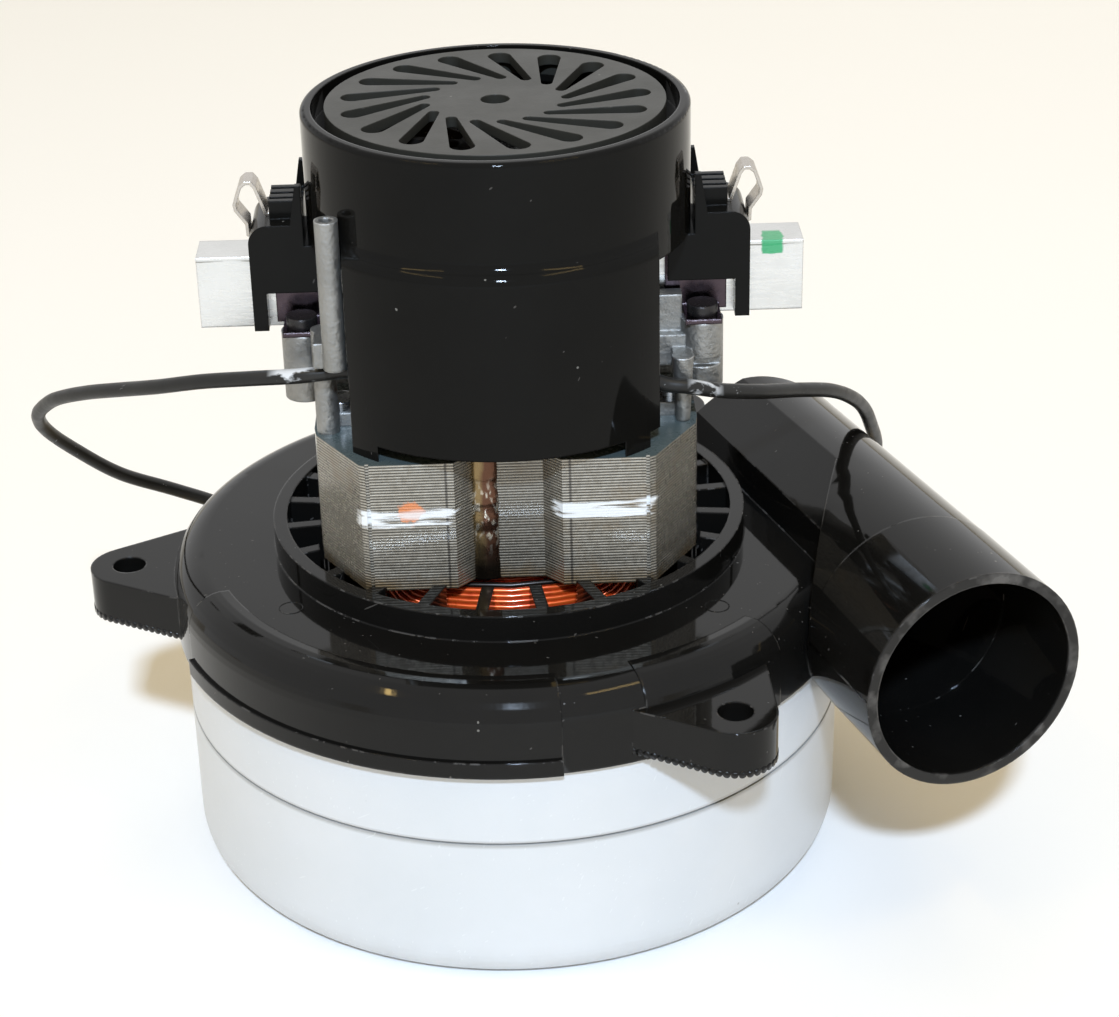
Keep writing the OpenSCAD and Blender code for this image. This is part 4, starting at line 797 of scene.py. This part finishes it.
def beadFinish(look):
    made = Finish("weldBead")
    t = made.tree
    cloud = cloudy(t, made.place, 230.0, Detail=4.0)
    side = calc(t, "ADD", calc(t, "ABSOLUTE", made.x), remap(t, cloud, 0.3, 0.7, -0.0005, 0.0005))
    left = remap(t, side, *scaled(look["split"]))
    base = blend(t, left, made.colour(look["brown"]), made.colour(look["tan"]))
    # painted glints: silver flecks in a band up the middle of the bead
    fleck = cloudy(t, stretch(t, made.place, (1, 1, 0.45)), 1100.0, Detail=3.0)
    middle = within(t, made.z, *scaled(look["bareAndGlint"]), 0.003)
    bareAndGlint = calc(t, "MULTIPLY", remap(t, fleck, 0.53, 0.62), middle)
    base = blend(t, bareAndGlint, base, made.colour(look["glint"]))
    base = blend(t, remap(t, made.z, *scaled(look["foot"])), base, made.colour(look["dark"]))
    made.set(base=base, metal=0.9, rough=remap(t, cloud, 0.3, 0.7, 0.16, 0.32))
    made.relief(calc(t, "ADD", fleck, calc(t, "MULTIPLY", cloud, 3.0)), 0.22, 0.00014)
    return made.material


finishes["bead"] = beadFinish(beadLook)


def weldBead(plan, way):
    bm = bmesh.new()
    made = bmesh.ops.create_circle(bm, cap_ends=False, segments=16, radius=1.0)
    ring = list({e for v in made["verts"] for e in v.link_edges})
    bmesh.ops.scale(bm, vec=(plan["half"] * mm, plan["proud"] * mm, 1), verts=made["verts"])
    bmesh.ops.translate(bm, vec=(plan["x"] * mm, plan["y"] * mm, plan["low"] * mm), verts=made["verts"])
    bmesh.ops.contextual_create(bm, geom=ring)
    rise = (plan["high"] - plan["low"]) / plan["steps"]
    centre = Vector((plan["x"] * mm, plan["y"] * mm, 0))
    last = 1.0
    for step in range(1, plan["steps"] + 1):
        out = bmesh.ops.extrude_edge_only(bm, edges=ring)["geom"]
        verts = [g for g in out if isinstance(g, bmesh.types.BMVert)]
        ring = [g for g in out if isinstance(g, bmesh.types.BMEdge) and all(v in verts for v in g.verts)]
        bmesh.ops.translate(bm, vec=(0, 0, rise * mm), verts=verts)
        ripple = noise.noise(Vector((step * 0.55, way * 7.0, 0)))
        lump = noise.noise(Vector((step * 0.10, way * 3.0, 0)))
        size = 0.94 + 0.02 * ripple + 0.12 * lump
        for v in verts:
            away = (v.co - centre) * (size / last)
            v.co.x, v.co.y = centre.x + away.x, centre.y + away.y
        last = size
    bmesh.ops.contextual_create(bm, geom=ring)
    if way < 0:
        bmesh.ops.rotate(bm, cent=(0, 0, 0), matrix=Matrix.Rotation(math.pi, 3, "Z"), verts=bm.verts)
    return bm


for side, way in (("front", 1), ("back", -1)):
    addPiece("weldBead." + side, weldBead(bead, way), "bead")
print("weld beads laid")

# raised stretches of the bracket's skirt, with an edge down each end
skirt = {"radius": 74.0, "low": 51.4, "deck": 69.1, "round": 7.0, "raise": 0.32, "reach": 2.2,
         "stretches": {"front": (203.0, 74.0), "ear": (290.4, 27.0)}}


def skirtSkin(plan, start, sweep):
    bm = bmesh.new()
    proud, inner = plan["raise"], plan["radius"] - plan["round"]
    outline = [(plan["radius"] - 0.6, plan["low"]), (plan["radius"] + proud, plan["low"])]
    for step in range(9):
        a = math.pi / 2 * step / 8
        reach = plan["round"] + proud
        outline.append((inner + reach * math.cos(a), plan["deck"] - plan["round"] + reach * math.sin(a)))
    outline += [(inner - plan["reach"], plan["deck"] + 0.03), (inner - plan["reach"], plan["deck"] - 0.6)]
    verts = [bm.verts.new((r * mm, 0, z * mm)) for r, z in outline]
    edges = [bm.edges.new((verts[i - 1], verts[i])) for i in range(len(verts))]
    cap = bmesh.ops.contextual_create(bm, geom=edges)["faces"]
    bmesh.ops.rotate(bm, cent=(0, 0, 0), matrix=Matrix.Rotation(math.radians(start), 3, "Z"), verts=bm.verts)
    bmesh.ops.spin(bm, geom=cap + edges + verts, cent=(0, 0, 0), axis=(0, 0, 1), angle=math.radians(sweep),
                   steps=int(sweep), use_duplicate=False)
    return bm


for name, (start, sweep) in skirt["stretches"].items():
    addPiece("skirtSkin." + name, skirtSkin(skirt, start, sweep), "bracket", smooth=False)

# scalloped ribs along the underside of each ear
ears = {"angles": (181, 301, 61), "root": (71.3, 17.0), "shoulder": (87.77, 7.62), "centre": 84.0,
        "tip": 8.5, "bow": 63.7, "low": 53.9, "rib": 0.78, "step": 1.5, "depth": 3.0}


# round bar along the local x axis of its place
def addRod(bm, sides, radius, length, place):
    bmesh.ops.create_cone(bm, cap_ends=True, segments=sides, radius1=radius * mm, radius2=radius * mm,
                          depth=length * mm, matrix=place @ Matrix.Rotation(math.pi / 2, 4, "Y"))


def earRibs(plan, angle):
    bm = bmesh.new()
    root, shoulder = Vector(plan["root"]), Vector(plan["shoulder"])
    flank = shoulder - root
    count = int(flank.length / plan["step"])
    places = []
    for side in (-1, 1):
        for i in range(count):
            spot = root + flank * ((i + 0.5) / count)
            places.append((spot.x, side * spot.y, side * math.radians(plan["bow"])))
    bows = int(2 * math.radians(plan["bow"]) * plan["tip"] / plan["step"])
    for i in range(bows):
        a = math.radians(plan["bow"]) * (2 * (i + 0.5) / bows - 1)
        places.append((plan["centre"] + plan["tip"] * math.cos(a), plan["tip"] * math.sin(a), a))
    around = Matrix.Rotation(math.radians(angle), 4, "Z")
    for x, y, way in places:
        lie = Matrix.Rotation(way, 4, "Z") @ Matrix.Translation(((0.08 - plan["depth"] / 2) * mm, 0, 0))
        place = around @ Matrix.Translation((x * mm, y * mm, (plan["low"] + 0.1) * mm)) @ lie
        addRod(bm, 12, plan["rib"], plan["depth"], place)
    return bm


for i, angle in enumerate(ears["angles"]):
    addPiece("earRibs.%d" % i, earRibs(ears, angle), "bracket")

# round marks that the mould's ejector pins left, and the mould's parting line on the horn
pinMarks = {"spots": [(-46.1, -34.0, 69.1, 2.5), (42.4, -39.5, 69.1, 2.5), (-20.0, 58.0, 69.1, 2.5)],
            "ridge": 0.16}
parting = {"start": 61.0, "end": 87.0, "across": 67.7 - 24.0, "height": 62.0, "ridge": 0.22}


def pinRing(x, y, z, r, ridge):
    bm = bmesh.new()
    made = bmesh.ops.create_circle(bm, cap_ends=False, segments=8, radius=ridge * mm)
    bmesh.ops.rotate(bm, cent=(0, 0, 0), matrix=Matrix.Rotation(math.pi / 2, 3, "X"), verts=made["verts"])
    bmesh.ops.translate(bm, vec=(r * mm, 0, 0), verts=made["verts"])
    bmesh.ops.spin(bm, geom=bm.edges[:], cent=(0, 0, 0), axis=(0, 0, 1), angle=2 * math.pi, steps=32,
                   use_merge=True)
    bmesh.ops.translate(bm, vec=(x * mm, y * mm, (z - 0.04) * mm), verts=bm.verts)
    return bm


def partingRidge(plan):
    bm = bmesh.new()
    length = plan["end"] - plan["start"]
    along = Matrix.Rotation(hornAngle, 4, "Z") @ Matrix.Translation(
        ((plan["start"] + length / 2) * mm, (plan["across"] + 0.05) * mm, plan["height"] * mm))
    addRod(bm, 10, plan["ridge"], length, along)
    return bm


for i, spot in enumerate(pinMarks["spots"]):
    addPiece("pinMark.%d" % i, pinRing(*spot, pinMarks["ridge"]), "bracket")
addPiece("partingRidge", partingRidge(parting), "bracket")
print("moulding details made")

# floor, a cool flash, soft lamps and a warm room; a lamp that is not mirrored shows in no shine
stageLook = {"floor": (0.915, 0.915, 0.91), "drift": (0.93, 0.93, 0.925), "size": 6.0,
             "room": (1.0, 0.79, 0.44), "level": 0.48}
tints = {"flash": (0.64, 0.79, 1.0), "pale": (1.0, 0.98, 0.94), "warm": (1.0, 0.70, 0.26)}
lamps = {
    "keyLamp": {"place": (0.0, -2.40, 2.35), "size": (0.26, 0.19), "power": 118.0, "tint": "flash"},
    "topLamp": {"place": (0.05, 0.45, 1.15), "size": (0.90, 0.60), "power": 1.4, "tint": "pale",
                "mirrored": False},
    "backLamp": {"place": (0.58, 1.28, 0.82), "size": (0.50, 0.36), "power": 2.0, "tint": "pale",
                 "mirrored": False},
    "warmLeft": {"place": (-0.75, -0.35, 1.45), "size": (0.60, 0.03), "power": 1.7, "tint": "warm"},
    "warmRight": {"place": (0.55, -0.35, 1.45), "size": (0.50, 0.03), "power": 1.7, "tint": "warm"}}


def addFloor(look):
    bm = bmesh.new()
    bmesh.ops.create_grid(bm, x_segments=1, y_segments=1, size=look["size"])
    mesh = bpy.data.meshes.new("floor")
    bm.to_mesh(mesh)
    bm.free()
    made = Finish("paleFloor")
    t = made.tree
    tone = made.effect(smudges, Scale=1.6)
    base = blend(t, tone, made.colour(look["floor"]), made.colour(look["drift"]))
    made.set(base=base, rough=0.7)
    mesh.materials.append(made.material)
    link(bpy.data.objects.new("floor", mesh))


def addLamp(name, lamp):
    data = bpy.data.lights.new(name, "AREA")
    data.shape = "RECTANGLE"
    data.size, data.size_y = lamp["size"]
    data.energy = lamp["power"]
    data.color = tints[lamp["tint"]]
    made = link(bpy.data.objects.new(name, data))
    made.location = lamp["place"]
    made.visible_glossy = lamp.get("mirrored", True)
    made.rotation_mode = "QUATERNION"
    made.rotation_quaternion = (Vector((0, 0, 0.07)) - Vector(lamp["place"])).to_track_quat("-Z", "Y")


# warm room light, seen as white in mirrors and behind the floor
def addSurround(look):
    world = bpy.data.worlds.new("surround")
    world.use_nodes = True
    bpy.context.scene.world = world
    tree = world.node_tree
    room = tree.nodes["Background"]
    room.inputs["Color"].default_value = (*look["room"], 1.0)
    room.inputs["Strength"].default_value = look["level"]
    seen = put(tree, "Background", {"Color": (1.0, 1.0, 1.0, 1.0), "Strength": 1.0})
    path = put(tree, "LightPath").outputs
    mirrored = calc(tree, "MAXIMUM", path["Is Glossy Ray"], path["Is Transmission Ray"])
    mask = calc(tree, "MAXIMUM", path["Is Camera Ray"], mirrored)
    mixed = put(tree, "MixShader", {0: mask, 1: room.outputs[0], 2: seen.outputs[0]})
    tree.links.new(mixed.outputs[0], tree.nodes["World Output"].inputs["Surface"])


addFloor(stageLook)
for name, lamp in lamps.items():
    addLamp(name, lamp)
addSurround(stageLook)
print("stage set")
